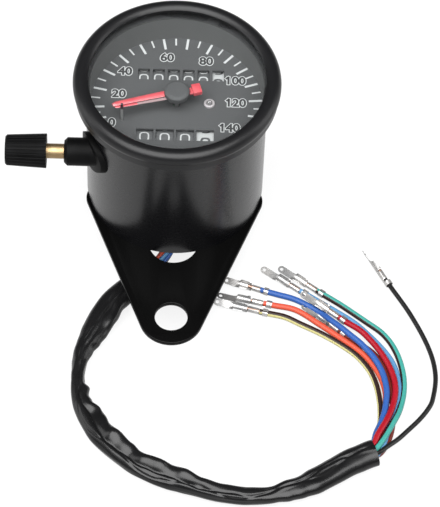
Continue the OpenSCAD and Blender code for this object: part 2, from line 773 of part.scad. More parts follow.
// Number drum, hollow from the left, with a toothed rim on its right side that the last drum,
// which the wheel turns, does without
module odometer_drum(i, shade) {
    color(shade) translate([odo_first_x + (i - 1) * odo_pitch, odo_y, axle_z]) rotate([0, 90, 0])
    difference() {
        union() {
            translate([0, 0, -odo_body_w / 2]) cylinder(r = drum_r, h = odo_body_w);
            if (i < odo_count) translate([0, 0, odo_body_w / 2]) linear_extrude(height = rim_w)
                rotate(rim_turn) toothed(rim_teeth, rim_r + rim_tooth_h / 2, rim_tooth_h, rim_share);
        }
        drum_hollow(odo_body_w, odo_axle_r + run);
    }
}

// What is cut out of a drum: the bore, and a ring-shaped hollow that is open to the left
module drum_hollow(w, bore_r) {
    translate([0, 0, -w]) cylinder(r = bore_r, h = 3 * w);
    translate([0, 0, -w / 2 - cut]) difference() {
        cylinder(r = drum_r - drum_wall, h = w - drum_web + cut);
        translate([0, 0, -cut]) cylinder(r = bore_r + drum_hub, h = w + 2 * cut);
    }
}

module odometer_drum_1() { odometer_drum(1, [0.08, 0.08, 0.08]); }
module odometer_drum_2() { odometer_drum(2, [0.08, 0.08, 0.08]); }
module odometer_drum_3() { odometer_drum(3, [0.08, 0.08, 0.08]); }
module odometer_drum_4() { odometer_drum(4, [0.08, 0.08, 0.08]); }
module odometer_drum_5() { odometer_drum(5, [0.08, 0.08, 0.08]); }
module odometer_drum_6() { odometer_drum(6, [0.9, 0.9, 0.9]); }

// Star pinions that pass each full turn to the next drum
module carry_pinions() {
    tooth_h = 0.9;
    color([0.85, 0.85, 0.8]) for (i = [1:odo_count - 1])
        translate([odo_first_x + (i - 1) * odo_pitch + (odo_body_w + pinion_w) / 2 + run, pinion_y, pinion_z])
        rotate([pinion_angle, 0, 0]) rotate([0, 90, 0]) rotate(-90) difference() {
            linear_extrude(height = pinion_w, center = true)
                toothed(pinion_teeth, pinion_r - tooth_h / 2, tooth_h, rim_share);
            cylinder(r = pinion_rod_r + run, h = 2 * pinion_w, center = true);
        }
}

module pinion_shaft() {
    color([0.7, 0.7, 0.72]) across(pinion_y, pinion_z, pinion_rod_r);
}

module trip_axle() {
    x0 = stem_end_x - axle_in_stem;
    color([0.7, 0.7, 0.72]) translate([x0, -trip_y, axle_z]) rotate([0, 90, 0])
        cylinder(r = trip_axle_r, h = right_x + side_t + rod_end - x0);
}

module trip_drums() {
    first = trip_mid_x - (trip_count - 1) * trip_pitch / 2;
    for (i = [0:trip_count - 1]) color(i < trip_count - 1 ? [0.08, 0.08, 0.08] : [0.9, 0.9, 0.9])
        translate([first + i * trip_pitch, -trip_y, axle_z]) rotate([0, 90, 0]) difference() {
            translate([0, 0, -trip_w / 2]) cylinder(r = drum_r, h = trip_w);
            drum_hollow(trip_w, trip_axle_r + run / 2);
        }
}

// Trip reset

module reset_stem() {
    color([0.78, 0.6, 0.3]) difference() {
        translate([knob_in_x - knob_bore, -trip_y, stem_z]) rotate([0, 90, 0])
            cylinder(d = stem_d, h = stem_end_x - knob_in_x + knob_bore);
        translate([stem_end_x - axle_in_stem - run, -trip_y, stem_z]) rotate([0, 90, 0])
            cylinder(r = trip_axle_r + run / 2, h = axle_in_stem + run + cut);
    }
}

// Tapered knob with rounded grooves all round and a blind hole for the stem
module reset_knob() {
    groove_r = 0.3;
    flat = 0.5;
    color([0.06, 0.06, 0.06]) translate([-knob_reach, -trip_y, stem_z]) rotate([0, 90, 0]) difference() {
        rotate_extrude($fn = 96) polygon([[0, 0], [knob_tip_d / 2 - flat, 0], [knob_tip_d / 2, flat],
            [knob_foot_d / 2, knob_len], [0, knob_len]]);
        translate([0, 0, knob_len - knob_bore - run]) cylinder(d = stem_d + run, h = knob_bore + cut);
        for (i = [0:knob_grooves - 1]) rotate(360 * i / knob_grooves)
            translate([knob_tip_d / 2 + groove_r / 3, 0, -cut])
            rotate([0, atan((knob_foot_d - knob_tip_d) / 2 / knob_len), 0])
            cylinder(r = groove_r, h = knob_len + 3 * cut, $fn = 16);
    }
}

// Black boss whose root spreads over the can like a saddle
module stem_gland() {
    saddle_r = 6.3;
    saddle_t = 1.6;
    edge = 1;
    inward = 20;
    color([0.07, 0.07, 0.07]) difference() {
        union() {
            translate([-gland_reach, -trip_y, stem_z]) rotate([0, 90, 0]) {
                cylinder(d1 = gland_d - 2 * edge, d2 = gland_d, h = edge);
                translate([0, 0, edge]) cylinder(d = gland_d, h = inward - edge);
            }
            intersection() {
                translate([-gland_reach, -trip_y, stem_z]) rotate([0, 90, 0])
                    cylinder(r = saddle_r, h = inward);
                cylinder_between(can_r + saddle_t, can_z, crimp_z - cut);
            }
        }
        cylinder_between(can_r + run, can_z - cut, flange_z);
        translate([-gland_reach - cut, -trip_y, stem_z]) rotate([0, 90, 0])
            cylinder(d = stem_d + 2 * run, h = inward);
    }
}

// Underside

module wire_grommet() {
    low = can_z - grommet_lip;
    high = floor_z + grommet_lip;
    color([0.08, 0.08, 0.08]) translate([0, -grommet_y, 0]) difference() {
        union() {
            cylinder_between(grommet_r + grommet_lip, low, can_z);
            cylinder_between(grommet_r - run, can_z, floor_z);
            cylinder_between(grommet_r + grommet_lip, floor_z, high);
        }
        translate([root_x, 0, 0]) cylinder_between(root_r + run, low - cut, high + cut);
    }
}

// Outline: two round rear corners and the round tip, joined by their common tangents
function arc(c, r, from, to) = [for (i = [0:arc_steps]) let (a = from + (to - from) * i / arc_steps)
    c + r * [cos(a), sin(a)]];
module bracket() {
    reach = [stud_x, tongue_len - stud_y];
    t = atan(reach[0] / reach[1]) - asin((tip_r - corner_r) / norm(reach));
    color([0.04, 0.04, 0.04]) translate([0, 0, can_z - plate_t]) difference() {
        linear_extrude(height = plate_t) polygon(concat(
            arc([stud_x, -stud_y], corner_r, 90, -t),
            arc([0, -tongue_len], tip_r, -t, t - 180),
            arc([-stud_x, -stud_y], corner_r, t + 180, 90)));
        translate([0, -tongue_len, -cut]) cylinder(d = tongue_hole_d, h = plate_t + 2 * cut);
        translate([0, -wire_hole_y, -cut]) cylinder(d = wire_hole_d, h = plate_t + 2 * cut);
        for (s = [-1, 1]) translate([s * stud_x, -stud_y, -cut])
            cylinder(d = stud_d + loose, h = plate_t + 2 * cut);
        translate([0, 0, -cut]) cylinder(d = port_d + port_room, h = plate_t + 2 * cut);
    }
}

// Studs with a collar inside the can and a thin end that clamps the movement's frame
module stud_bolts() {
    color([0.75, 0.75, 0.72]) for (s = [-1, 1]) translate([s * stud_x, -stud_y, 0]) {
        cylinder(d = stud_d, h = floor_z);
        cylinder_between(collar_r, floor_z, base_z);
        cylinder_between(screw_r, base_z, base_top + 2 * screw_r);
    }
}

module bracket_nuts() {
    z = can_z - plate_t - 2 * washer_t - nut_h;
    color([0.75, 0.75, 0.72]) for (s = [-1, 1])
        translate([s * stud_x, -stud_y, z]) hex_nut(nut_af, nut_h, stud_d / 2 + run);
}

// A flat washer and a spring washer on each stud
module bracket_washers() {
    spring_d = 8.6;
    slot = 0.8;
    color([0.7, 0.7, 0.68]) for (s = [-1, 1], k = [1, 2])
        translate([s * stud_x, -stud_y, can_z - plate_t - k * washer_t]) difference() {
            cylinder(d = k == 1 ? washer_d : spring_d, h = washer_t);
            translate([0, 0, -cut]) cylinder(d = stud_d + loose, h = washer_t + 2 * cut);
            if (k == 2) rotate(45 * s) translate([0, -slot / 2, -cut])
                cube([spring_d, slot, washer_t + 2 * cut]);
        }
}

// Harness

module harness_root() {
    color([0.2, 0.3, 0.6]) tube(root_route, root_r, 8, [1, -1, 0], [0, 0, -1]);
}

module harness_sleeve() {
    color([0.05, 0.05, 0.05]) tube(sleeve_route, sleeve_d / 2, 12, above, root_route[4] - root_route[3]);
}

module wire(route, shade) {
    color(shade) tube(route, wire_d / 2, 8, above, mouth_dir);
}

module wire_black() { wire(black_route, [0.06, 0.06, 0.06]); }
module wire_green() { wire(green_route, [0.25, 0.75, 0.5]); }
module wire_sky() { wire(sky_route, [0.35, 0.7, 0.85]); }
module wire_red() { wire(red_route, [0.75, 0.1, 0.15]); }
module wire_blue() { wire(blue_route, [0.1, 0.2, 0.65]); }
module wire_orange() { wire(orange_route, [0.95, 0.45, 0.2]); }
module wire_yellow() { wire(yellow_route, [0.75, 0.65, 0.1]); }
module wire_brown() { wire(brown_route, [0.35, 0.2, 0.12]); }

// Crimped male terminal along +X: the crimps on the wire, then a flat blade with a hole
module terminal() {
    crimp = [1.15, 3];
    core = [0.9, 3.6];
    blade = [10, 2.3, 0.8];
    tuck = 0.5;
    hole_r = 0.6;
    x0 = crimp[1] + core[1] - tuck;
    x1 = x0 + blade[0] - blade[1] / 2;
    rotate([0, 90, 0]) cylinder(r = crimp[0], h = crimp[1]);
    rotate([0, 90, 0]) cylinder(r = core[0], h = crimp[1] + core[1]);
    difference() {
        union() {
            translate([x0, -blade[1] / 2, -blade[2] / 2]) cube([x1 - x0, blade[1], blade[2]]);
            translate([x1, 0, -blade[2] / 2]) cylinder(d = blade[1], h = blade[2]);
        }
        translate([x1, 0, -cut]) cylinder(r = hole_r, h = 2 * cut);
    }
}

module terminals() {
    for (route = [black_route, green_route, sky_route, red_route,
        blue_route, orange_route, yellow_route, brown_route]) {
        n = len(route);
        d = route[n - 1] - route[n - 2];
        color([0.8, 0.8, 0.8]) translate(route[n - 1]) rotate(atan2(d[1], d[0])) terminal();
    }
}

housing_can();
bezel_ring();
lens_glass();
lens_gasket();
spacer_ring();
dial_plate();
stop_pin();
needle();
hub_cap();
needle_spindle();
drag_cup();
hairspring();
spindle_bush();
spindle_bridge();
movement_frame();
frame_nuts();
lamp_board();
backlight_leds();
indicator_led();
cable_port();
port_gasket();
drive_shaft();
magnet_carrier();
drive_magnet();
cross_wheel();
cross_shaft();
upright_wheel();
upright_shaft();
odometer_wheel();
odometer_axle();
odometer_drum_1();
odometer_drum_2();
odometer_drum_3();
odometer_drum_4();
odometer_drum_5();
odometer_drum_6();
carry_pinions();
pinion_shaft();
trip_axle();
trip_drums();
reset_stem();
reset_knob();
stem_gland();
wire_grommet();
bracket();
stud_bolts();
bracket_nuts();
bracket_washers();
harness_root();
harness_sleeve();
wire_black();
wire_green();
wire_sky();
wire_red();
wire_blue();
wire_orange();
wire_yellow();
wire_brown();
terminals();
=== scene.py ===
# %% [markdown]
# A small motorcycle speedometer, dressed for its picture
#
# The packed model already holds every piece of the instrument at its real size: the black can, the
# rolled bezel, the dial, the movement, the reset knob, the bracket and the harness. This lesson
# loads it as a fixed frame, gives every surface a finish, and models again, with finer edges, the
# pieces that the eye goes to first. Sizes are in millimetres until a piece is finished.

# %% Load the packed model
import json
import math

import bmesh
import bpy
from mathutils import Matrix, Vector, geometry, noise


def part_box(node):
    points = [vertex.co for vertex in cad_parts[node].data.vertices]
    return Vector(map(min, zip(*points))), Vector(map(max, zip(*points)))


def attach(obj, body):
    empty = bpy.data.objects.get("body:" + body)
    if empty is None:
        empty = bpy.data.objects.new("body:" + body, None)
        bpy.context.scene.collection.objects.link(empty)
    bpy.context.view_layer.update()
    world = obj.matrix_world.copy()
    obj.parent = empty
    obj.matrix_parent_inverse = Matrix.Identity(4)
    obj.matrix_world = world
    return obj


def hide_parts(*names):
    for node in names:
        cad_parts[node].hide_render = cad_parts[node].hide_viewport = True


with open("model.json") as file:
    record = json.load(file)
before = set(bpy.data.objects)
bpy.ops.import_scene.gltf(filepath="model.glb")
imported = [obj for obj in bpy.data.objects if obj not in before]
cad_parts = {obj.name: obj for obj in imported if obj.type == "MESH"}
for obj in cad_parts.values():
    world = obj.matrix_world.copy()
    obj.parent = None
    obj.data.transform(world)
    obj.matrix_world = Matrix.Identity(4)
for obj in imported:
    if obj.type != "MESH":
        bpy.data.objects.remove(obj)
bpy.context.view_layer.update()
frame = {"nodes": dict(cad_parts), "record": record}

MM = 0.001
scene = bpy.context.scene

# %% [markdown]
# The camera. The photograph is a long-lens view, so the ellipses of the bezel and the can barely
# differ in shape from top to bottom. The view was found by fitting those ellipses: it looks down at
# 53.8 degrees, almost straight along +Y, with a small roll. A camera can be placed by hand or by a
# matrix. A matrix is used here, because its columns are the three directions that the fit gave.

# %% Place the camera
VIEW_AZIMUTH = math.radians(-1.24)
VIEW_DOWN = math.radians(53.76)
VIEW_ROLL = math.radians(2.5)
FOCAL_PX = 2999.4
IMAGE_H = 507
SENSOR = 36
FIT_SCALE = 0.984
LOOK_AT = (0, 0, 30)
LOOK_SHIFT = (15.379, -39.764)
CAN_FLOOR = 14
DISTANCE = 920


def place_camera():
    flat, steep = math.cos(VIEW_DOWN), math.sin(VIEW_DOWN)
    back = Vector((math.sin(VIEW_AZIMUTH) * flat, -math.cos(VIEW_AZIMUTH) * flat, steep))
    right = Vector((math.cos(VIEW_AZIMUTH), math.sin(VIEW_AZIMUTH), 0))
    up = right.cross(-back)
    target = Vector(LOOK_AT) + LOOK_SHIFT[0] * right + LOOK_SHIFT[1] * up
    place = FIT_SCALE * target + Vector((0, 0, CAN_FLOOR)) + DISTANCE * back
    x_axis = right * math.cos(VIEW_ROLL) + up * math.sin(VIEW_ROLL)
    y_axis = up * math.cos(VIEW_ROLL) - right * math.sin(VIEW_ROLL)
    turn = Matrix((x_axis, y_axis, back)).transposed().to_4x4()
    camera = bpy.data.objects.new("camera", bpy.data.cameras.new("camera"))
    scene.collection.objects.link(camera)
    camera.data.sensor_width = SENSOR
    camera.data.lens = FOCAL_PX * SENSOR / IMAGE_H
    camera.matrix_world = Matrix.Translation(place * MM) @ turn
    scene.camera = camera
    print("camera", [round(c, 3) for c in camera.matrix_world.translation], round(camera.data.lens, 1))


place_camera()

# %% [markdown]
# Shader maths. A material is a small program made of nodes, and wiring them by hand is hard to
# read. A class that wraps one socket and overloads Python's operators lets a pattern be written as
# a sum, such as 1 - mask * 0.5. Only the operators that the finishes need are there.

# %% A value in a material
class Value:
    """One socket of a material, with Python's operators for its Math nodes."""

    def __init__(self, finish, socket):
        self.finish = finish
        self.socket = socket

    def math(self, operation, *rest):
        return self.finish.node("Math", {"operation": operation}, dict(enumerate([self, *rest])))

    def __add__(self, other):
        return self.math("ADD", other)

    def __sub__(self, other):
        return self.math("SUBTRACT", other)

    def __rsub__(self, other):
        return self.finish.node("Math", {"operation": "SUBTRACT"}, {0: other, 1: self})

    def __mul__(self, other):
        return self.math("MULTIPLY", other)

    __radd__ = __add__
    __rmul__ = __mul__

    def between(self, low, high):
        """0 below low, 1 above high, and smooth in the middle."""
        settings = {"interpolation_type": "SMOOTHSTEP"}
        return self.finish.node("MapRange", settings, {0: self, 1: low, 2: high})


operators = [name.strip("_") for name in vars(Value) if name.endswith(("add__", "sub__", "mul__"))]
print("a Value takes", ", ".join(operators))

# %% [markdown]
# A material being made. It starts empty, with a socket for the place on the object and one for the
# piece's own UV map. One method makes every node: it takes the node's type, its settings, and then
# the values or links of its sockets. The others are short names for the nodes that come up often,
# and the last one ends the material with its Principled shader.

# %% A material being made
COLOUR_OUT = 2
finishes = {}


class Finish:
    """A material that is built node by node, around one Principled shader."""

    def __init__(self, name):
        self.name = name
        self.material = bpy.data.materials.new(name)
        self.material.use_nodes = True
        self.tree = self.material.node_tree
        self.tree.nodes.clear()
        self.place = self.node("TexCoord", {}, {}, "Object")
        self.sheet = self.node("TexCoord", {}, {}, "UV")

    def node(self, kind, settings, sockets, out=0):
        made = self.tree.nodes.new("ShaderNode" + kind)
        for name, setting in settings.items():
            setattr(made, name, setting)
        for name, value in sockets.items():
            if isinstance(value, Value):
                self.tree.links.new(value.socket, made.inputs[name])
            else:
                made.inputs[name].default_value = value
        return Value(self, made.outputs[out]) if made.outputs else None

    def axis(self, source, name):
        return self.node("SeparateXYZ", {}, {0: source}, name)

    def stretched(self, source, scale):
        return self.node("Mapping", {}, {"Vector": source, "Scale": scale})

    def noise(self, scale, detail=3, rough=0.5, source=None):
        sockets = {"Vector": source or self.place, "Scale": scale, "Detail": detail, "Roughness": rough}
        return self.node("TexNoise", {}, sockets)

    def mix(self, share, first, second):
        settings = {"data_type": "RGBA"}
        sockets = {0: share, 6: first, 7: second}
        return self.node("Mix", settings, sockets, COLOUR_OUT)

    def bump(self, height, distance, strength):
        """Height from 0 to 1, which stands for distance in millimetres."""
        sockets = {"Height": height, "Distance": distance * MM, "Strength": strength}
        return self.node("Bump", {}, sockets)

    def surface(self, **sockets):
        """The Principled shader; a socket's name is written with _ for its spaces."""
        named = {name.replace("_", " "): value for name, value in sockets.items()}
        return self.node("BsdfPrincipled", {}, named)

    def done(self, shader):
        """Ends the material, and keeps it among the finishes under its name."""
        self.node("OutputMaterial", {}, {"Surface": shader})
        finishes[self.name] = self.material

    def painted(self, **sockets):
        self.done(self.surface(**sockets))


def rgb(red, green=None, blue=None):
    """A colour socket's value; one number is a grey."""
    return (red, red if green is None else green, red if blue is None else blue, 1)


PER_MM = 1 / MM
print("noise scales are written per metre, and", PER_MM, "of them is one a millimetre")

# %% [markdown]
# The floor. The photograph has a plain white ground. The floor is a white surface that also glows
# towards the camera and into reflections, so that it reads as white while it still holds the
# object's shadow. A light path factor mixes the glow in for those rays alone, so the glow doesn't
# light the object from below.

# %% Floor
FLOOR_SIZE = 6
FLOOR_WHITE = 0.3
GLOW_SHARE = 0.6
GLOW = 1.38


def floor_finish():
    finish = Finish("floor_white")
    grain = finish.noise(900, 2)
    rays = [finish.node("LightPath", {}, {}, name)
            for name in ("Is Camera Ray", "Is Glossy Ray", "Is Transmission Ray")]
    seen = rays[0].math("MAXIMUM", rays[1]).math("MAXIMUM", rays[2])
    white = finish.mix(grain, rgb(FLOOR_WHITE), rgb(FLOOR_WHITE - 0.01))
    paper = finish.node("BsdfDiffuse", {}, {"Color": white})
    glow = finish.node("Emission", {}, {"Strength": GLOW})
    finish.done(finish.node("MixShader", {}, {0: seen * GLOW_SHARE, 1: paper, 2: glow}))


def lay_floor():
    bm = bmesh.new()
    bmesh.ops.create_grid(bm, x_segments=1, y_segments=1, size=FLOOR_SIZE / 2)
    mesh = bpy.data.meshes.new("floor")
    bm.to_mesh(mesh)
    bm.free()
    floor = bpy.data.objects.new("floor", mesh)
    scene.collection.objects.link(floor)
    floor_finish()
    mesh.materials.append(finishes["floor_white"])
    print("a floor", FLOOR_SIZE, "m wide")


lay_floor()

# %% [markdown]
# The light. Three large soft lamps do what a light tent does: one above and behind the camera, and
# one at each side for the long reflections on the black can. The world behind them is nearly dark,
# so that the black pieces stay black.

# %% Lamps and surroundings
SURROUND = 0.06
LIT_POINT = Vector((0, 0, 0.03))
LAMPS = {
    # name: (place in metres, size, watts)
    "ceiling": ((-0.1, -0.5, 1.2), (1.8, 1.3), 64),
    "left": ((-0.95, 0.05, 0.35), (0.5, 0.9), 4.0),
    "right": ((0.95, 0.1, 0.4), (0.5, 0.9), 5.0),
}


def hang_lamps():
    for name, (place, size, watts) in LAMPS.items():
        lamp = bpy.data.lights.new(name, "AREA")
        lamp.shape = "RECTANGLE"
        lamp.size, lamp.size_y = size
        lamp.energy = watts
        holder = bpy.data.objects.new(name, lamp)
        scene.collection.objects.link(holder)
        holder.location = place
        holder.rotation_euler = (LIT_POINT - Vector(place)).to_track_quat("-Z", "Y").to_euler()
    world = bpy.data.worlds.new("tent")
    world.use_nodes = True
    sky = world.node_tree.nodes["Background"].inputs
    sky["Color"].default_value = rgb(1)
    sky["Strength"].default_value = SURROUND
    scene.world = world
    scene.view_settings.view_transform = "Standard"
    print(len(LAMPS), "lamps in a tent of strength", SURROUND)


hang_lamps()

# %% [markdown]
# The black finishes. Black things are told apart by their gloss. The can and the bezel are
# lacquered, with a faint orange peel and hairline rubs that only show in a reflection. The bracket
# is powder coated, so it is flatter and has a fine grain. The knob and boss are moulded nylon with
# a soft sheen, and the rubber pieces are dull. Each is a near-black colour whose roughness and bump
# vary a little, at the scale of the real thing.

# %% Lacquer, powder coat, moulded plastic and rubber
def lacquer(name, colour, gloss, peel, sheen):
    finish = Finish(name)
    cloud = finish.noise(60, 4)
    rubs = finish.noise(300, 3, 0.6, finish.stretched(finish.place, (1, 1, 8)))
    dust = finish.noise(2500, 2).between(0.72, 0.8)
    bump = finish.bump(finish.noise(900, 2), peel, 0.3)
    base = finish.mix(dust * 0.1, rgb(*colour), rgb(0.05))
    rough = gloss + cloud * 0.04 + rubs.between(0.5, 0.75) * 0.03
    finish.painted(Base_Color=base, Roughness=rough, Normal=bump, Specular_IOR_Level=sheen)


def powder_coat(name):
    finish = Finish(name)
    grain = finish.noise(2600, 3, 0.6)
    cloud = finish.noise(45, 3)
    base = finish.mix(cloud, rgb(0.001), rgb(0.0018))
    rough = 0.2 + cloud * 0.04 + grain * 0.04
    bump = finish.bump(grain, 0.008, 0.2)
    finish.painted(Base_Color=base, Roughness=rough, Normal=bump, Specular_IOR_Level=0.08)


def moulded(name, colour, rough_at, grain_scale=3200, height=0.02, sheen=0.5):
    finish = Finish(name)
    grain = finish.noise(grain_scale, 3, 0.6)
    cloud = finish.noise(110, 3)
    lighter = tuple(channel * 1.35 + 0.002 for channel in colour)
    base = finish.mix(cloud.between(0.35, 0.7), rgb(*colour), rgb(*lighter))
    rough = rough_at + cloud * 0.08 + grain * 0.08
    bump = finish.bump(grain, height, 0.4)
    finish.painted(Base_Color=base, Roughness=rough, Normal=bump, Specular_IOR_Level=sheen)


lacquer("can_black", (0.002, 0.002, 0.0025), 0.24, 0.01, 0.36)
lacquer("bezel_black", (0.005, 0.005, 0.0055), 0.34, 0.01, 0.25)
powder_coat("plate_black")
moulded("knob_black", (0.0022, 0.0022, 0.0023), 0.38, sheen=0.04)
moulded("rubber", (0.008, 0.008, 0.008), 0.6, 1800, 0.03, sheen=0.2)
moulded("pin_black", (0.035, 0.025, 0.03), 0.4)
moulded("nylon", (0.66, 0.62, 0.5), 0.36)
moulded("board_green", (0.015, 0.13, 0.05), 0.34)
moulded("lamp_white", (0.26, 0.24, 0.245), 0.3)
print(len(finishes), "finishes with the floor")

# %% [markdown]
# The metals. Brass is turned, so its fine rings run round the stem. The rolled and stamped steel
# has a grain, zinc plating is mottled from yellow to blue, cast alloy is dull with small pits, the
# tinned terminals are bright with soft smears, and the strands in them are copper. A bare metal
# has Metallic at 1 and takes its colour from what it mirrors, while the roughness carries most of
# the pattern. Tin under a thin dull skin is a little less than 1.

# %% Turned, plated, rolled and cast metals
def metal(name, light, dark, rough_at, grain, scale=600, relief=0.01, pure=1.0):
    """A metal whose grain is stretched by the three factors in grain."""
    finish = Finish(name)
    lines = finish.noise(scale, 3, 0.6, finish.stretched(finish.place, grain))
    cloud = finish.noise(160, 4)
    base = finish.mix(cloud.between(0.35, 0.7), rgb(*light), rgb(*dark))
    rough = rough_at + lines * 0.14 + cloud * 0.08
    bump = finish.bump(lines, relief, 0.5)
    finish.painted(Base_Color=base, Roughness=rough, Metallic=pure, Normal=bump)


ROUND_X = (14, 1, 1)
ROUND_Z = (1, 1, 14)
EVEN = (1, 1, 1)
metal("brass", (0.37, 0.28, 0.16), (0.27, 0.18, 0.09), 0.36, ROUND_X, 500)
metal("steel", (0.62, 0.62, 0.62), (0.42, 0.42, 0.43), 0.24, ROUND_Z)
metal("aluminium", (0.82, 0.82, 0.83), (0.68, 0.68, 0.7), 0.28, ROUND_Z)
metal("zinc_plate", (0.75, 0.73, 0.66), (0.5, 0.53, 0.6), 0.22, EVEN, 900)
metal("cast_alloy", (0.5, 0.5, 0.51), (0.33, 0.33, 0.34), 0.42, EVEN, 1500, 0.04)
metal("tinned", (0.42, 0.41, 0.4), (0.24, 0.24, 0.24), 0.24, EVEN, 300, 0.003, 0.75)
metal("strands", (0.4, 0.27, 0.21), (0.26, 0.16, 0.12), 0.4, EVEN, 1400)
moulded("ferrite", (0.05, 0.05, 0.055), 0.5, 1500, 0.03)
print(len(finishes), "finishes with the metals")

# %% [markdown]
# The face. The dial plate is painted a flat dark grey and printed in white. The number drums are
# black mouldings, apart from the tenths, which are white. Paint for a dial is chalky, so it is
# rough and has almost no sheen, with a speckle too fine to see as dots. The needle is lacquered in
# a coral red, a little paler where the lacquer is thick.

# %% Dial paint, prints, drums and needle lacquer
def chalky(name, colour, speckle=0.04, rough_at=0.62):
    finish = Finish(name)
    dots = finish.noise(5200, 2)
    cloud = finish.noise(38, 3)
    low = tuple(channel * (1 - speckle * 3) for channel in colour)
    high = tuple(channel * (1 + speckle * 3) for channel in colour)
    base = finish.mix(dots * 0.5 + cloud * 0.5, rgb(*low), rgb(*high))
    rough = rough_at + dots * 0.1
    bump = finish.bump(dots, 0.008, 0.3)
    finish.painted(Base_Color=base, Roughness=rough, Normal=bump, Specular_IOR_Level=0.3)


chalky("dial_grey", (0.06, 0.06, 0.0615))
# The black drums are a lighter grey than the dial: painted light against the shade under the plate
chalky("drum_black", (0.08, 0.08, 0.082))
chalky("drum_white", (0.36, 0.36, 0.36), 0.02, 0.5)
chalky("print_dark", (0.034, 0.034, 0.035))
chalky("gasket_grey", (0.03, 0.03, 0.031))


def coral():
    finish = Finish("needle_coral")
    cloud = finish.noise(260, 3)
    base = finish.mix(cloud.between(0.3, 0.75), rgb(0.44, 0.06, 0.075), rgb(0.5, 0.09, 0.1))
    bump = finish.bump(finish.noise(1800, 2), 0.01, 0.3)
    finish.painted(Base_Color=base, Roughness=0.3 + cloud * 0.1, Normal=bump, Coat_Weight=0.3)


coral()
chalky("needle_primer", (0.25, 0.17, 0.175))

# %% [markdown]
# Clear pieces. The lens is a flat disc of glass. Real refraction through a flat pane hardly bends
# the view, so the pane is a mirror laid over nothing: a Fresnel factor mixes a clear shader, which
# also lets the lamps through to the dial, with a glossy one that holds the reflections. Only the
# side that the light enters mirrors it: from inside, a straight ray at a slant would count as
# totally reflected, and the dial would go dark. The indicator lamp is a cast epoxy dome, which
# does bend light, so it is a refracting shader.

# %% Lens glass and lamp epoxy
def pane():
    finish = Finish("glass")
    smears = finish.noise(70, 4)
    entering = 1 - finish.node("NewGeometry", {}, {}, "Backfacing")
    mirror = finish.node("Fresnel", {}, {"IOR": 1.45}) * entering
    clear = finish.node("BsdfTransparent", {}, {"Color": rgb(0.97, 0.98, 0.98)})
    gloss = finish.surface(Base_Color=rgb(0.02), Roughness=0.03 + smears.between(0.5, 0.8) * 0.03)
    finish.done(finish.node("MixShader", {}, {0: mirror, 1: clear, 2: gloss}))


def epoxy():
    finish = Finish("lamp_clear")
    swirl = finish.noise(800, 3)
    tint = finish.mix(swirl, rgb(0.96, 0.9, 0.92), rgb(0.9, 0.93, 0.9))
    finish.painted(Base_Color=tint, Roughness=0.06 + swirl * 0.06, IOR=1.5, Transmission_Weight=0.85)


pane()
epoxy()
print(len(finishes), "finishes for the rigid pieces")

# %% [markdown]
# The wires' skins. Automotive wire has a soft PVC skin with a slight wax, and two of these wires
# carry a printed stripe along their length, which needs the piece's own UV map: its V runs round
# the wire and its U along it.

# %% Wire skins
# Where a stripe starts and ends round the wire, in turns from its underside
STRIPES = {"green": (0.14, 0.43), "yellow": (0.38, 0.64)}
STRIPE_BLUR = 0.01


def wire_skin(name, colour, stripe=None):
    finish = Finish(name)
    wax = finish.noise(700, 3)
    darker = tuple(channel * 0.8 for channel in colour)
    base = finish.mix(wax, rgb(*darker), rgb(*colour))
    if stripe:
        across = (finish.axis(finish.sheet, "Y") + 0.5).math("FRACT")
        across = across + (finish.noise(120, 2) - 0.5) * 0.02
        low, high = stripe
        begun = across.between(low - STRIPE_BLUR, low + STRIPE_BLUR)
        ended = across.between(high - STRIPE_BLUR, high + STRIPE_BLUR)
        printed = begun * (1 - ended)
        base = finish.mix(printed, base, rgb(0.016, 0.008, 0.007))
    bump = finish.bump(finish.noise(1500, 2), 0.012, 0.3)
    finish.painted(Base_Color=base, Roughness=0.3 + wax * 0.12, Normal=bump, Specular_IOR_Level=0.2)


WIRES = {
    "black": (0.008, 0.008, 0.008),
    "green": (0.035, 0.22, 0.19),
    "sky": (0.07, 0.185, 0.335),
    "red": (0.24, 0.005, 0.012),
    "blue": (0.021, 0.07, 0.245),
    "orange": (0.43, 0.06, 0.032),
    "yellow": (0.41, 0.375, 0.165),
    "brown": (0.12, 0.015, 0.009),
}
for colour_name, skin in WIRES.items():
    wire_skin("wire_" + colour_name, skin, STRIPES.get(colour_name))
wire_skin("wire_bundle", (0.05, 0.15, 0.5))
print(len(WIRES), "wire colours")

# %% [markdown]
# The sleeve's film. The sleeve is a lay-flat PVC tube: black and shiny, with fine creases where it
# has been folded. The creases run along it, so their noise is stretched along the UV map.

# %% Sleeve film
def sleeve_film():
    finish = Finish("sleeve_black")
    along = finish.stretched(finish.sheet, (8, 2.4, 1))
    creases = finish.noise(1, 3, 0.5, along)
    fine = finish.noise(260, 3, 0.5)
    cloud = finish.noise(90, 3)
    base = finish.mix(cloud, rgb(0.003), rgb(0.006, 0.006, 0.0065))
    rough = 0.23 + cloud * 0.08
    bump = finish.bump(creases * 0.85 + fine * 0.15, 0.06, 0.35)
    finish.painted(Base_Color=base, Roughness=rough, Normal=bump, Specular_IOR_Level=0.28)


sleeve_film()
print(len(finishes), "finishes in all")

# %% [markdown]
# Every CAD node takes the finish of its slot. The packed meshes are already smooth where they are
# round, so a node whose shape is right needs nothing more. What is modelled again below hides the
# node that it stands for. The ring between the lens and the dial stands upright and gets little
# light, yet it looks as light as the dial in the photograph, so its paint is lighter: painted light
# against its shade. Its top is painted dark grey, for the rubber ring that it hides and as painted
# shade under the bezel, and this is seen through the glass as a dark grey band inside the bezel.

# %% Dress the CAD nodes
RING_DARK_FROM = 0.062
SPLIT_BLUR = 0.0002


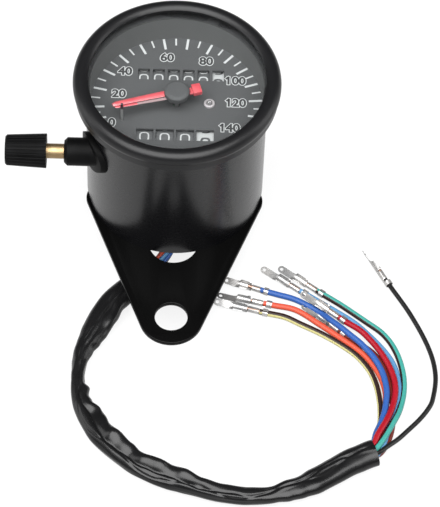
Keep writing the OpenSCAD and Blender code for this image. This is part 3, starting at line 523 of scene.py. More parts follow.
def two_part(name, scale, split, below, above, rough_at):
    """Speckled paint: one pair of colours below a height in metres, and another pair above it."""
    finish = Finish(name)
    dots = finish.noise(scale, 2)
    upper = finish.axis(finish.place, "Z").between(split, split + SPLIT_BLUR)
    base = finish.mix(upper, finish.mix(dots, *below), finish.mix(dots, *above))
    finish.painted(Base_Color=base, Roughness=rough_at + dots * 0.1)


# Lighter grey below RING_DARK_FROM is painted light; the dark top is painted shade and rubber ring
two_part("ring_grey", 5200, RING_DARK_FROM, (rgb(0.102), rgb(0.116)), (rgb(0.03), rgb(0.03)), 0.6)
# The spindle and its bush take the ring's lighter grey: painted light against the hub's shadow
COATS = {"spacer_ring": "ring_grey", "lens_gasket": "gasket_grey", "needle_spindle": "ring_grey",
         "spindle_bush": "ring_grey"}
SLOT_OF = {part["node"]: part["material_slot"] for part in frame["record"]["subparts"]}
for node_name, node in frame["nodes"].items():
    node.data.materials.clear()
    node.data.materials.append(finishes[COATS.get(node_name, SLOT_OF[node_name])])
print("dressed", len(SLOT_OF), "nodes")

# %% [markdown]
# Finishing a piece. Each new piece is modelled as a bmesh in millimetres, in its place. This helper
# closes it, points its faces outwards, scales it to metres, keeps its sharp edges sharp, hangs it on
# the body that it rides on, gives it its coat or the finish of its slot, and hides the nodes that it
# stands for.

# %% A finished piece
SHARP = math.radians(38)
SLOTS = set(SLOT_OF.values())


def piece(name, bm, body, slot, *nodes, sharp=SHARP, heal=True, coat=None):
    if heal:
        bmesh.ops.remove_doubles(bm, verts=bm.verts, dist=0.0005)
        bmesh.ops.recalc_face_normals(bm, faces=bm.faces)
    bmesh.ops.scale(bm, vec=(MM, MM, MM), verts=bm.verts)
    for face in bm.faces:
        face.smooth = True
    for edge in bm.edges:
        edge.smooth = edge.is_manifold and edge.calc_face_angle(0) < sharp
    mesh = bpy.data.meshes.new(name)
    bm.to_mesh(mesh)
    bm.free()
    obj = bpy.data.objects.new(name, mesh)
    scene.collection.objects.link(obj)
    mesh.materials.append(finishes[coat or slot])
    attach(obj, body)
    slot in SLOTS
    if nodes:
        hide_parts(*nodes)
    print(name, len(mesh.polygons), "faces on", body)
    return obj


print(len(SLOTS), "slots can be given to a piece")

# %% [markdown]
# The harness's routes. A cord is a fixed length of something flexible, so its route comes first. The
# sleeve's points are the ones that the part's own source follows: out of the grommet, under the
# bracket, round on the floor in an open loop, and back towards the can. The wires' points were
# measured along each wire in the photograph: the black one lies apart, five lie side by side on
# the floor, and the blue and the red one lie on them.

# %% Routes of the sleeve and the wires
# A point with two numbers lies on the floor
SLEEVE_LIES = 3.8
WIRE_LIES = 1.05
ROOT_ROUTE = [(-1, -21.5, 19.6), (-1, -21.5, 10.6), (-1.8, -22.4, 7.9), (-4.4, -25.4, 5.8),
              (-8, -29, 4.8)]
SLEEVE_ROUTE = [
    (-8, -29, 4.8), (-11.4, -32.4, 4), (-18, -40), (-23.5, -51), (-27, -63), (-27.2, -75), (-23, -86),
    (-15.5, -95), (-5, -101.8), (6, -106), (18, -108.6), (30, -108), (41, -103.2), (51, -96.6),
    (57, -93.6), (62, -91.8)]
WIRE_ROUTES = {
    "black": [
        (63.3, -92.4, 4.4), (65.7, -89.8, 3.4), (69.4, -85.7, 1.6), (72.9, -81.6, 0.9),
        (76.1, -78, 0.9), (78.7, -74.3, 0.9), (80.2, -71, 0.9), (81.4, -62, 0.9), (79.8, -52.5, 0.9),
        (74.5, -40, 1.2), (68, -28.5, 1.2)],
    "green": [
        (62, -91.7, 4.9), (64.1, -88.7, 4.7), (65.9, -85.3, 4.2), (67.8, -81.1, 3.4),
        (69.6, -76.7, 2.3), (70.8, -72.3, 1.4), (71.5, -68), (71.6, -63.9), (71.1, -59.6), (70, -55.2),
        (68.5, -51.5), (67, -48.9), (64.7, -46.1), (60.4, -42.7, 1.2), (57.3, -40.2, 1.2),
        (52.6, -36.5, 1.2), (47.5, -32.9, 1.2)],
    "sky": [
        (62.4, -92.8, 3.2), (64.7, -88.7, 3.2), (66, -84.2, 2.4), (67.3, -79.8, 1.3),
        (68.5, -75.9, 1.1), (69.5, -72.2), (70, -67.7), (69.8, -63.9), (69.2, -60.6), (68.1, -57.4),
        (66.7, -54.8), (65, -52.3), (61.9, -48.5), (57.3, -43.7, 1.1), (52.5, -40.1, 1.2),
        (42.2, -33.1, 1.2)],
    "red": [
        (61.4, -90.2, 4.6), (63, -86.4, 4.8), (65.3, -81.7, 4.2), (67, -77.5, 3.4), (68.2, -73.4, 2.9),
        (68.8, -69.6, 2.75), (68.7, -66, 2.75), (68.1, -63.1, 2.75), (67.1, -60.1, 2.75),
        (65.7, -57.1, 2.75), (63.9, -53.9, 2.75), (61.4, -50.4, 2.75), (58.4, -47, 2.75),
        (54.1, -43.7, 2.4)],
    "blue": [
        (61.2, -89.6, 3), (62.7, -84.6, 2.9), (64.2, -80.8, 2.75), (65.3, -77.1, 2.75),
        (65.9, -73.3, 2.7), (66.2, -69.6, 2.7), (65.8, -65.9, 2.7), (64.9, -62.2, 2.75),
        (63.2, -58.5, 2.9), (61.7, -56, 2.95), (58.6, -52.1, 2.95), (55.5, -49.1, 2.95),
        (52.4, -46.1, 2.9), (49.3, -43.1, 2.4), (46, -39.3), (38.5, -34.9, 1.2), (32.5, -33, 1.2)],
    "orange": [
        (61.8, -91.1, 3.1), (64, -84.7, 2), (65.4, -79.7), (66, -76), (66, -72.3), (65.9, -68.5),
        (65.1, -64.8), (63.9, -61.6), (62.5, -59.1), (61, -56.8), (58.7, -54.1), (55.6, -51.4),
        (52.5, -49), (46, -44), (38.5, -38.8, 1.2), (31.3, -37.2, 1.2)],
    "yellow": [
        (61.5, -90.3, 1.7), (63.3, -83.4, 1.1), (64.1, -79.7), (64.3, -76), (64.1, -71.8),
        (63.2, -66.2), (61.2, -60.8), (57.3, -55.4), (52.2, -51.2), (46.2, -47.3), (40, -44),
        (35.2, -41.6, 1.2), (30.1, -40.4, 1.2)],
    "brown": [
        (63.4, -91.8, 2.4), (65.9, -87.4, 1.4), (67.2, -83.5), (67.9, -79.6), (68.3, -75.9),
        (67.9, -72.2), (67.8, -68.5), (67, -64.8), (66, -60.4), (64.3, -57), (61.9, -53.8),
        (58.8, -51.4), (56.2, -49.5, 1.1), (54.2, -47.9, 1.2)],
}
SLEEVE_ROUTE = [(*point, SLEEVE_LIES)[:3] for point in SLEEVE_ROUTE]
WIRE_ROUTES = {name: [(*point, WIRE_LIES)[:3] for point in route]
               for name, route in WIRE_ROUTES.items()}
print(len(SLEEVE_ROUTE), "points on the sleeve and", sum(map(len, WIRE_ROUTES.values())), "on the wires")

# %% [markdown]
# From points to a line. A smooth curve through a route's points is cut into short steps, and all
# that follows the route is swept along those steps. Each stretch between two points is a Bezier
# curve whose handles lie along the route's heading there, so that the stretches meet smoothly.

# %% A smooth line through a route
WIRE_D = 1.9
THIN_WIRES = {"black": 1.5}


def smooth_route(route, step):
    """Points about a step apart, on a smooth curve through the route's points."""
    points = [Vector(p) for p in route]
    last = len(points) - 1
    headings = [(points[min(i + 1, last)] - points[max(i - 1, 0)]).normalized() for i in range(last + 1)]
    line = [points[0]]
    for i in range(last):
        reach = (points[i + 1] - points[i]).length
        handles = points[i] + headings[i] * reach / 3, points[i + 1] - headings[i + 1] * reach / 3
        count = max(2, round(reach / step))
        line += geometry.interpolate_bezier(points[i], *handles, points[i + 1], count + 1)[1:]
    return line


def length_of(line):
    return sum((b - a).length for a, b in zip(line, line[1:]))


for wire_name, route in WIRE_ROUTES.items():
    print(wire_name, round(length_of(smooth_route(route, 1)), 1), "mm")

# %% [markdown]
# Sweeping. A flat grid rolled round a route makes a tube: its rows run along the route and its
# columns go round. The grid brings a UV map with it, so that stripes and creases follow the piece.
# What stands at a place on the tube is a function of how far along and how far round it is, which
# gives a plain round wire as easily as a crumpled sleeve.

# %% Roll a grid round a route
ABOVE = Vector((0, 0, 1))


def side_axes(line, up):
    """At each point of a line: the direction across it that lies towards up, and the one beside."""
    axes = []
    for i in range(len(line)):
        heading = (line[min(i + 1, len(line) - 1)] - line[max(i - 1, 0)]).normalized()
        high = (up - heading * up.dot(heading)).normalized()
        axes.append((high, heading.cross(high)))
    return axes


def row_of(vert, count):
    """Which row of a grid a vertex is on; a new grid runs from -1 to 1."""
    return round((vert.co.x + 1) / 2 * (count - 1))


def rolled(line, sides, radius_at, up=ABOVE, rows=None):
    """A tube round a line. radius_at(row, turn) gives its two half-sizes' vector at a turn from 0 to 1.
    rows lists the line's points that the grid's rows stand at, which may run back inside."""
    rows = rows or list(range(len(line)))
    axes = side_axes(line, up)
    bm = bmesh.new()
    bm.loops.layers.uv.new("UVMap")
    bmesh.ops.create_grid(bm, x_segments=len(rows) - 1, y_segments=sides, size=1, calc_uvs=True)
    for vert in bm.verts:
        place = row_of(vert, len(rows))
        turn = (vert.co.y + 1) / 2
        i = rows[place]
        up_part, side_part = radius_at(place, turn)
        vert.co = line[i] + axes[i][0] * up_part + axes[i][1] * side_part
    bmesh.ops.remove_doubles(bm, verts=bm.verts, dist=0.0005)
    open_edges = [edge for edge in bm.edges if edge.is_boundary]
    bmesh.ops.holes_fill(bm, edges=open_edges, sides=0)
    return bm


def round_wire(radius):
    def at(place, turn):
        angle = 2 * math.pi * turn
        return radius * math.cos(angle), radius * math.sin(angle)
    return at


trial = rolled([Vector((x, 0, 0)) for x in (0, 5, 10)], 8, round_wire(1))
print("a short tube has", len(trial.faces), "faces")
trial.free()

# %% [markdown]
# The terminals. Each wire ends in a stamped terminal of thin tinned brass: a strip is cut flat and
# rolled, so that one pair of wings grips the insulation, the next the bare strands, and the strip
# goes on as a channel and a flat tongue with a hole. The real one is made from sheet, so the model
# is too: a grid is given the strip's outline and rolled to the radius that each station needs. A
# table holds the stations, and one function reads such a table between its rows.

# %% Stamp and roll the strip
# Along the strip: distance from its start, half the flat strip's width, radius of the roll
STATIONS = [
    (0, 3.05, 1.02), (1.5, 3.05, 1.02), (1.65, 0.9, 1.02), (2.8, 0.9, 0.9), (3.0, 2.25, 0.76),
    (6.1, 2.25, 0.76), (6.3, 0.95, 1.2), (6.9, 1.0, 2.2), (7.05, 2.3, 1.12), (7.7, 2.3, 1.12),
    (7.85, 1.8, 1.15), (11.0, 1.75, 1.2), (11.4, 1.15, 2.6), (12.2, 1.15, 60), (16.15, 1.15, 60)]
TONGUE_END = 16.15
TONGUE_W = 1.15
STATION_STEP = 0.45
TERMINAL_COLUMNS = 20


def along(table, at, eased=False):
    """The values of a table between its rows; each row starts with its own place."""
    for low, high in zip(table, table[1:]):
        if at <= high[0]:
            share = (at - low[0]) / (high[0] - low[0])
            if eased:
                share = share * share * (3 - 2 * share)
            return [a + (b - a) * share for a, b in zip(low[1:], high[1:])]
    return table[-1][1:]


def terminal_strip():
    last = TONGUE_END - TONGUE_W
    steps = {STATION_STEP * i for i in range(1, math.ceil(last / STATION_STEP) + 1)}
    places = [x for x in sorted({row[0] for row in STATIONS} | steps | {last}) if x <= last]
    bends = [(x, half, 1 / radius) for x, half, radius in STATIONS]
    bm = bmesh.new()
    bmesh.ops.create_grid(bm, x_segments=len(places) - 1, y_segments=TERMINAL_COLUMNS, size=1)
    for vert in bm.verts:
        distance = places[row_of(vert, len(places))]
        half, bend = along(bends, distance)
        radius = 1 / bend
        arc = vert.co.y * half
        vert.co = (distance, radius * math.sin(arc / radius), radius * (1 - math.cos(arc / radius)))
    return bm


print("the strip widens and narrows over", len(STATIONS), "stations")

# %% [markdown]
# The tongue's end is round and has a hole, which a grid can't have. A second grid is rolled into a
# flat ring instead: its columns go round the hole and its rows go out, square towards the strip and
# round at the tip, so that the two meet along one edge.

# %% Round off the tongue
TONGUE_HOLE = 0.55
TONGUE_TURNS = 40


def stamp(target, part, place=Matrix()):
    """Adds a bmesh to another, in its place."""
    part.transform(place)
    mesh = bpy.data.meshes.new("stamp")
    part.to_mesh(mesh)
    part.free()
    target.from_mesh(mesh)
    bpy.data.meshes.remove(mesh)


def tongue_end(bm):
    """The round end with its hole: a grid whose columns go round the hole and whose rows go out."""
    ring = bmesh.new()
    bmesh.ops.create_grid(ring, x_segments=3, y_segments=TONGUE_TURNS, size=1)
    for vert in ring.verts:
        out = (vert.co.x + 1) / 2
        angle = (vert.co.y + 1) * math.pi
        x, y = math.cos(angle), math.sin(angle)
        edge = TONGUE_W if x >= 0 else TONGUE_W / max(abs(x), abs(y))
        reach = TONGUE_HOLE + (edge - TONGUE_HOLE) * out
        vert.co = (TONGUE_END + reach * x, reach * y, 0)
    stamp(bm, ring)


trial = terminal_strip()
tongue_end(trial)
print("strip and tongue together have", len(trial.faces), "faces")
trial.free()

# %% [markdown]
# On the wire's end. The sheet gets its thickness last, so that every wall is equally thick. Then
# the terminal is turned along its wire, leans a little to one side and slopes down to the floor. A
# straight bit of the skin and the bared strands go inside its wings.

# %% Put a terminal on a wire's end
SHEET = 0.2
TERMINAL_DROP = 0.78
TERMINAL_PITCH = math.radians(-4)
WIRE_SIDES = 14
SKIN_IN = 2.6


def make_terminal(name, end, heading, lean, scale):
    bm = terminal_strip()
    tongue_end(bm)
    bmesh.ops.remove_doubles(bm, verts=bm.verts, dist=0.02)
    bmesh.ops.recalc_face_normals(bm, faces=bm.faces)
    bmesh.ops.solidify(bm, geom=bm.faces[:], thickness=SHEET)
    turn = Matrix.Rotation(math.atan2(heading.y, heading.x), 4, "Z")
    turn = turn @ Matrix.Rotation(TERMINAL_PITCH, 4, "Y") @ Matrix.Rotation(math.radians(lean), 4, "X")
    drop = Matrix.Translation((0, 0, -TERMINAL_DROP - SHEET))
    bm.transform(Matrix.Translation(end) @ turn @ drop @ Matrix.Diagonal((scale, 1, 1, 1)))
    return piece(name, bm, "case", "tinned", "terminals")


def make_core(name, end, heading, coat, start, stop, radius):
    """A straight length inside the terminal: the skin's last bit, or the bared strands."""
    away = Vector((heading.x, heading.y, 0)).normalized() - Vector((0, 0, math.sin(TERMINAL_PITCH)))
    line = [end + away * d for d in (start, (start + stop) / 2, stop)]
    bm = rolled(line, WIRE_SIDES, round_wire(radius))
    return piece(name, bm, "case", coat, "terminals")


print("a terminal is", round(TONGUE_END + TONGUE_W, 2), "mm long, of sheet", SHEET, "mm thick")

# %% [markdown]
# Laying the wires. Each wire is its own cord, about 1.9 mm thick, with the terminal on its end.
# The wires start a little inside the sleeve's mouth, so that no cut end shows.

# %% Lay the eight wires
WIRE_STEP = 0.9
INSIDE = 3
# A straight bit before the terminal, the skin pressed into it, and the bared strands
STRAIGHT = {"blue": 2.6}
SKIN_PRESSED = 0.85
STRANDS_END = 6.6
STRANDS_R = 0.5
LEAN = {"blue": -12, "orange": 8, "yellow": -20, "black": 70, "red": -6, "green": -8, "sky": -8}
SHORT = {"blue": 0.84, "black": 0.86}
MOUTH_HEADING = (Vector(SLEEVE_ROUTE[-1]) - Vector(SLEEVE_ROUTE[-2])).normalized()

for wire_name, route in WIRE_ROUTES.items():
    thick = THIN_WIRES.get(wire_name, WIRE_D)
    inside = Vector(route[0]) - MOUTH_HEADING * INSIDE
    line = smooth_route([inside, *route], WIRE_STEP)
    heading = line[-1] - line[-2]
    heading.z = 0
    line.append(line[-1] + heading.normalized() * STRAIGHT.get(wire_name, 0.2))
    bm = rolled(line, WIRE_SIDES, round_wire(thick / 2))
    wire = piece("wire_" + wire_name + "_skin", bm, "case", "wire_" + wire_name, "wire_" + wire_name)
    stamped = make_terminal("terminal_" + wire_name, line[-1], heading, LEAN.get(wire_name, 0),
                            SHORT.get(wire_name, 1))
    skin_end = make_core("skin_end_" + wire_name, line[-1], heading, "wire_" + wire_name, -0.4,
                         SKIN_IN, thick / 2 * SKIN_PRESSED)
    strands = make_core("strands_" + wire_name, line[-1], heading, "strands", SKIN_IN - 0.3,
                        STRANDS_END, STRANDS_R)
    [c * MM for c in route[0]]
    length_of(line) * MM
    thick * MM
    [p * MM for p in line]
    print(wire_name, round(length_of(line), 1), "mm long")

# %% [markdown]
# The sleeve. A lay-flat PVC tube has two creased edges and a fullness in between. Where it is
# wider than its wires, the slack folds over into a fin on the inside of the bend. The tube here is
# a round core with a lobe on each side, whose reaches were measured against the photograph along
# the route: flat and wide near the bracket, a tight twisted neck, a wavy fin all round the bend,
# and a lobe on the outside before the mouth.

# %% Sizes along the sleeve
# Share of the length, core radius, outer reach, inner reach, the fin's lean from the vertical
SLEEVE_SHAPE = [
    (0.0, 2.5, 3.6, 3.2, 80), (0.05, 2.7, 4.6, 3.8, 80), (0.09, 2.6, 4.7, 3.8, 80),
    (0.125, 2.8, 4.5, 4.6, 84), (0.165, 2.7, 4.2, 4.2, 84), (0.19, 2.6, 3.8, 3.5, 84),
    (0.213, 2.4, 3.6, 2.3, 84), (0.24, 2.1, 3.1, 1.6, 84), (0.265, 2.0, 2.7, 1.5, 84),
    (0.288, 2.1, 2.3, 1.9, 84), (0.303, 2.1, 2.3, 3.5, 84), (0.322, 2.2, 2.35, 3.1, 80),
    (0.34, 2.3, 2.4, 3.8, 78), (0.365, 2.3, 2.4, 5.4, 76), (0.39, 2.3, 2.3, 5.6, 72),
    (0.413, 2.4, 2.4, 5.1, 68), (0.45, 2.3, 2.3, 6.1, 64), (0.488, 2.3, 2.2, 5.7, 60),
    (0.513, 2.4, 2.4, 4.9, 58), (0.563, 2.3, 2.4, 5.7, 56), (0.588, 2.3, 2.3, 5.1, 56),
    (0.613, 2.2, 2.0, 5.4, 55), (0.65, 2.2, 1.9, 4.1, 55), (0.69, 2.3, 1.9, 3.4, 58),
    (0.74, 2.5, 2.5, 3.0, 60), (0.788, 2.4, 2.9, 2.3, 70), (0.813, 2.4, 3.8, 2.8, 80),
    (0.84, 2.4, 4.5, 2.2, 84), (0.87, 2.5, 5.3, 2.8, 84), (0.915, 2.5, 5.5, 2.8, 84),
    (0.96, 2.8, 5.2, 3.2, 84), (1.0, 3.0, 4.6, 4.1, 86)]
print("the sleeve's shape is given at", len(SLEEVE_SHAPE), "places")

# %% [markdown]
# A section of the sleeve. Its radius at a turn is the core's, with a smooth hump for each lobe, a
# crease at the foot of the fin and a second one that wanders. Noise adds the swellings and the
# buckles. It is read on a circle, so that it meets itself all the way round.

# %% One section of the sleeve
OUTER_LEAN = math.radians(96)
OUTER_HALF = math.radians(78)
# The fin's width in degrees, how much each millimetre of length takes off it, and up to what length
FIN = (84, 13, 3)
# The fin's two swings: degrees, and pace along the sleeve
FLUTTER = ((8, 61), (3, 147))
NECK = (0.19, 0.33)
NECK_RIDGE = 0.16
NECK_RIDGES = 4
NECK_TWIST = 60
CREASE = 0.3
CREASE_HALF = math.radians(17)
FOLD = 0.7 * CREASE
FOLD_HALF = math.radians(15)
# The wandering crease: its middle, its swing, and its pace along the sleeve
FOLD_PATH = (0.35, 0.5, 37)
BUCKLE = 0.1
SWELL = 0.3
NOISE_R = 1.7
CALM_FROM = 0.85
CALMED = 0.6
MAX_REACH = 6.3


def hump(angle, at, half):
    """1 at a direction, falling smoothly to 0 at an angle of half to each side of it."""
    gap = abs((angle - at + math.pi) % (2 * math.pi) - math.pi)
    return math.cos(math.pi / 2 * min(1, gap / half)) ** 2


def sleeve_section(share, turn, wall):
    core, outer, inner, lean = along(SLEEVE_SHAPE, share, eased=True)
    angle = 2 * math.pi * turn
    flutter = sum(math.radians(swing) * math.sin(pace * share) for swing, pace in FLUTTER)
    fin_at = -math.radians(lean) + flutter
    fin_half = math.radians(FIN[0] - FIN[1] * max(0, min(FIN[2], inner - core)))
    radius = core + (outer - core) * hump(angle, OUTER_LEAN, OUTER_HALF)
    radius += (inner - core) * hump(angle, fin_at, fin_half)
    radius -= CREASE * hump(angle, fin_at + fin_half, CREASE_HALF)
    radius -= FOLD * hump(angle, FOLD_PATH[0] + FOLD_PATH[1] * math.sin(FOLD_PATH[2] * share), FOLD_HALF)
    neck = hump(share, sum(NECK) / 2, (NECK[1] - NECK[0]) / 2)
    radius += NECK_RIDGE * neck * math.cos(NECK_RIDGES * angle - NECK_TWIST * share)
    side = Vector((0, NOISE_R * math.sin(angle), NOISE_R * math.cos(angle)))
    across = noise.noise(side + Vector((share * 11, 0, 0)))
    swell = noise.noise(side * 0.6 + Vector((share * 14 + 9, 0, 0)))
    calm = (1 - CALMED * neck) * (1 - CALMED * max(0, share - CALM_FROM) / (1 - CALM_FROM))
    radius += calm * (BUCKLE * (0.5 - 2.2 * abs(across)) + SWELL * swell)
    radius = min(radius, MAX_REACH) - wall
    return radius * math.cos(angle), radius * math.sin(angle)


for share in (0.25, 0.5, 0.75):
    reaches = [math.hypot(*sleeve_section(share, k / 64, 0)) for k in range(64)]
    print("at", share, "the sleeve reaches", round(min(reaches), 1), "to", round(max(reaches), 1), "mm")

# %% [markdown]
# The sleeve is swept like a wire. At its mouth the rows turn back inside by the wall's thickness,
# so that the tube has a lip, and nothing of it may sink into the floor.

# %% Sweep the sleeve
SLEEVE_STEP = 0.6
SLEEVE_SIDES = 64
WALL = 0.3
LIP_ROWS = 6
FLOOR_GAP = 0.12


def build_sleeve():
    line = smooth_route(SLEEVE_ROUTE, SLEEVE_STEP)
    last = len(line) - 1
    rows = list(range(len(line))) + [last - i for i in range(LIP_ROWS)]

    def at(place, turn):
        inside = place > last
        up, side = sleeve_section(rows[place] / last, turn, WALL if inside else 0)
        return max(up, FLOOR_GAP - line[rows[place]].z), side

    bm = rolled(line, SLEEVE_SIDES, at, rows=rows)
    sleeve = piece("harness_sleeve_skin", bm, "case", "sleeve_black", "harness_sleeve",
                   sharp=math.radians(70))
    return sleeve, line


sleeve, sleeve_line = build_sleeve()

# %% [markdown]
# Between the grommet and the sleeve the eight wires lie bare beside each other, and their colours
# show through the bracket's round wire hole. One is in the middle and seven lie round it, with a
# slow twist, as a harness is made.

# %% The bare wires under the can
ROOT_WIRE_R = 0.62
ROOT_RING_R = 1.42
ROOT_TWIST = 0.35
ROOT_SIDES = 10
ROOT_UP = Vector((1, -1, 0))
ROOT_ORDER = ["green", "orange", "red", "yellow", "brown", "black", "blue", "sky"]


def build_root():
    centre = smooth_route(ROOT_ROUTE + SLEEVE_ROUTE[1:2], WIRE_STEP)
    axes = side_axes(centre, ROOT_UP)
    made = []
    for k, colour_name in enumerate(ROOT_ORDER):
        reach = ROOT_RING_R if k else 0
        line = []
        for i, point in enumerate(centre):
            angle = 2 * math.pi * (k / (len(ROOT_ORDER) - 1) + ROOT_TWIST * i / len(centre))
            high, beside = axes[i]
            line.append(point + high * reach * math.cos(angle) + beside * reach * math.sin(angle))
        bm = rolled(line, ROOT_SIDES, round_wire(ROOT_WIRE_R), ROOT_UP)
        made.append(piece("root_wire_" + colour_name, bm, "case", "wire_" + colour_name, "harness_root"))
    return made


root_wires = build_root()
length_of(sleeve_line) * MM
[p * MM for p in sleeve_line]
print("sleeve", round(length_of(sleeve_line), 1), "mm")

# %% [markdown]
# Rounded edges. No pressed or moulded edge is perfectly sharp: it holds a thin line of light. The
# packed meshes have sharp edges, so a copy of each is merged, its flat faces are joined, and its
# sharp edges are bevelled by the amount that its making leaves: much on a moulding, little on a
# washer. A modifier could do this live; here the bevels are put in the mesh.

# %% Bevel copies of packed pieces
SHARP_FROM = math.radians(32)
# Node, width of the bevel, steps across it
EDGES = [
    ("bracket", 0.32, 3), ("stem_gland", 0.45, 3), ("bracket_nuts", 0.2, 2),
    ("bracket_washers", 0.12, 2), ("stud_bolts", 0.15, 2), ("cable_port", 0.15, 2),
    ("wire_grommet", 0.25, 2)]


def merged(node_name):
    """A copy of a packed piece in millimetres, with its flat faces joined."""
    source = frame["nodes"][node_name]
    bm = bmesh.new()
    bm.from_mesh(source.data)
    bm.transform(source.matrix_world)
    bmesh.ops.scale(bm, vec=(PER_MM, PER_MM, PER_MM), verts=bm.verts)
    bmesh.ops.remove_doubles(bm, verts=bm.verts, dist=0.002)
    bmesh.ops.dissolve_limit(bm, angle_limit=math.radians(0.6), verts=bm.verts, edges=bm.edges)
    return bm


def softened(node_name, width, segments):
    bm = merged(node_name)
    edges = [edge for edge in bm.edges if edge.is_manifold and edge.calc_face_angle(0) > SHARP_FROM]
    bmesh.ops.bevel(bm, geom=edges, offset=width, segments=segments, affect="EDGES", profile=0.5,
                    material=-1, clamp_overlap=True)
    piece(node_name + "_soft", bm, "case", SLOT_OF[node_name], node_name)


bpy.context.view_layer.update()
for soft_node, width, segments in EDGES:
    softened(soft_node, width, segments)

# %% [markdown]
# Turned pieces. A turned piece is its outline spun about its axis. The outline here is a list of
# corners, each with the radius that the tool leaves there, so that one function makes the hub cap,
# the knob's core and the brass stem.

# %% Spin an outline
SPIN_STEPS = 96
CORNER_STEPS = 5


def rounded(corners):
    """An outline's points; each corner is (radius from the axis, height, rounding)."""
    points = []
    for i, (r, h, rounding) in enumerate(corners):
        here = Vector((r, 0, h))
        if not rounding or i in (0, len(corners) - 1):
            points.append(here)
            continue
        before = Vector((corners[i - 1][0], 0, corners[i - 1][1])) - here
        after = Vector((corners[i + 1][0], 0, corners[i + 1][1])) - here
        start, end = here + before.normalized() * rounding, here + after.normalized() * rounding
        for k in range(CORNER_STEPS + 1):
            t = k / CORNER_STEPS
            points.append(start * (1 - t) ** 2 + here * 2 * t * (1 - t) + end * t ** 2)
    return points


def spun(corners, steps=SPIN_STEPS):
    bm = bmesh.new()
    verts = [bm.verts.new(point) for point in rounded(corners)]
    edges = [bm.edges.new(pair) for pair in zip(verts, verts[1:])]
    bmesh.ops.spin(bm, geom=verts + edges, cent=(0, 0, 0), axis=(0, 0, 1), angle=2 * math.pi,
                   steps=steps, use_merge=True, use_duplicate=False)
    return bm


print("outlines are spun in", SPIN_STEPS, "steps, and a corner takes", CORNER_STEPS)

# %% [markdown]
# Boxes. Many small pieces here are plain boxes: the counterweight, the dial's strokes, the bars of
# the counters. One function adds a box to a bmesh in its place, and another lists the edges that
# some vertices touch, each once and always in the same order, so that every run gives the same.

# %% Boxes and their edges
def block(bm, size, centre, turn=0):
    """Adds a box: its size, then its turn about the vertical, then its centre."""
    box = bmesh.ops.create_cube(bm, size=1)["verts"]
    bmesh.ops.scale(bm, vec=size, verts=box)
    bmesh.ops.rotate(bm, matrix=Matrix.Rotation(turn, 3, "Z"), verts=box)
    bmesh.ops.translate(bm, vec=centre, verts=box)
    return box


def edges_of(verts):
    return list(dict.fromkeys(edge for vert in verts for edge in vert.link_edges))


trial = bmesh.new()
print("a box has", len(edges_of(block(trial, (1, 1, 1), (0, 0, 0)))), "edges")
trial.free()

# %% [markdown]
# The needle. It is pressed from thin aluminium with a fold along its middle, painted coral, with a
# block behind the hub as a counterweight. In the photograph the fold shows as a thin dark line
# between a bright upper face and a narrow lower one, whose inner half is painted a paler pink. The
# needle lies 106 degrees anticlockwise from the dial's top, against its stop pin.

# %% Needle and counterweight
DIAL_Z = 53.0127
NEEDLE_Z = 57.5127
NEEDLE_REST = math.radians(106)
NEEDLE_T = 0.9
# From the pivot outwards: distance, half width
NEEDLE_SHAPE = [(2.6, 1.45), (8, 1.32), (14, 1.12), (18.2, 0.97), (18.9, 0.9), (19.6, 0.62), (20, 0.3)]
TAIL = (1.8, 7.4)
TAIL_HALF = (1.15, 1.75)
WEIGHT = (4.8, 7.5)
WEIGHT_RISE = 0.7
TAIL_EDGE = 0.14
# The fold's place across the needle, and the lip beside it, in shares of the half width
FOLD_AT = -0.22
LIP = (-1, -0.45)
LIP_TOP = 0.55
PALE_END = 12.6


def needle_strip(first, last, low, high, top, fold, thickness):
    """A pressed strip of the needle: from first to last along it, and between two shares of its
    half width across it, with its top at a height and its edges folded down."""
    places = [first] + [d for d, _ in NEEDLE_SHAPE if first < d < last] + [last]
    bm = bmesh.new()
    bmesh.ops.create_grid(bm, x_segments=len(places) - 1, y_segments=4, size=1)
    for vert in bm.verts:
        distance = places[row_of(vert, len(places))]
        across = vert.co.y
        share = low + (high - low) * (across + 1) / 2
        half = along(NEEDLE_SHAPE, distance)[0]
        vert.co = (share * half, distance, top - fold * abs(across) ** 1.5)
    bmesh.ops.recalc_face_normals(bm, faces=bm.faces)
    bmesh.ops.solidify(bm, geom=bm.faces[:], thickness=thickness)
    return bm


def tail_block():
    bm = bmesh.new()
    parts = [(*TAIL, TAIL_HALF[0], 0.05, NEEDLE_T), (*WEIGHT, TAIL_HALF[1], 0, NEEDLE_T + WEIGHT_RISE)]
    for near, far, half, low, high in parts:
        box = block(bm, (half * 2, far - near, high - low), (0, -(near + far) / 2, (low + high) / 2))
        bmesh.ops.bevel(bm, geom=edges_of(box), offset=TAIL_EDGE, segments=2, affect="EDGES",
                        profile=0.5, material=-1)
    return bm


def at_rest(bm):
    bm.transform(Matrix.Translation((0, 0, NEEDLE_Z)) @ Matrix.Rotation(NEEDLE_REST, 4, "Z"))
    return bm


blade = needle_strip(2.6, 20, FOLD_AT, 1, NEEDLE_T, 0.25, 0.5)
lip = needle_strip(PALE_END, 19.4, *LIP, LIP_TOP, 0.1, 0.3)
primer = needle_strip(3.2, PALE_END, *LIP, LIP_TOP, 0.1, 0.3)
for name, bm, coat in (("blade", blade, None), ("lip", lip, None), ("primer", primer, "needle_primer"),
                       ("tail", tail_block(), None)):
    piece("needle_" + name, at_rest(bm), "pointer", "needle_coral", "needle", coat=coat)

# %% [markdown]
# The hub cap covers the middle of the needle. It is a moulded cap in the dial's grey with a small
# round on its edge, so it is spun from its outline.

# %% Hub cap
HUB_R = 3.9
HUB_Z = (0.45, 2.65)
hub = spun([(0, HUB_Z[1], 0), (HUB_R - 0.9, HUB_Z[1], 0.3), (HUB_R, HUB_Z[1] - 0.5, 0.35),
            (HUB_R, HUB_Z[0], 0.1), (0, HUB_Z[0], 0)])
hub.transform(Matrix.Translation((0, 0, NEEDLE_Z)))
piece("hub_cap_turned", hub, "pointer", "dial_grey", "hub_cap")
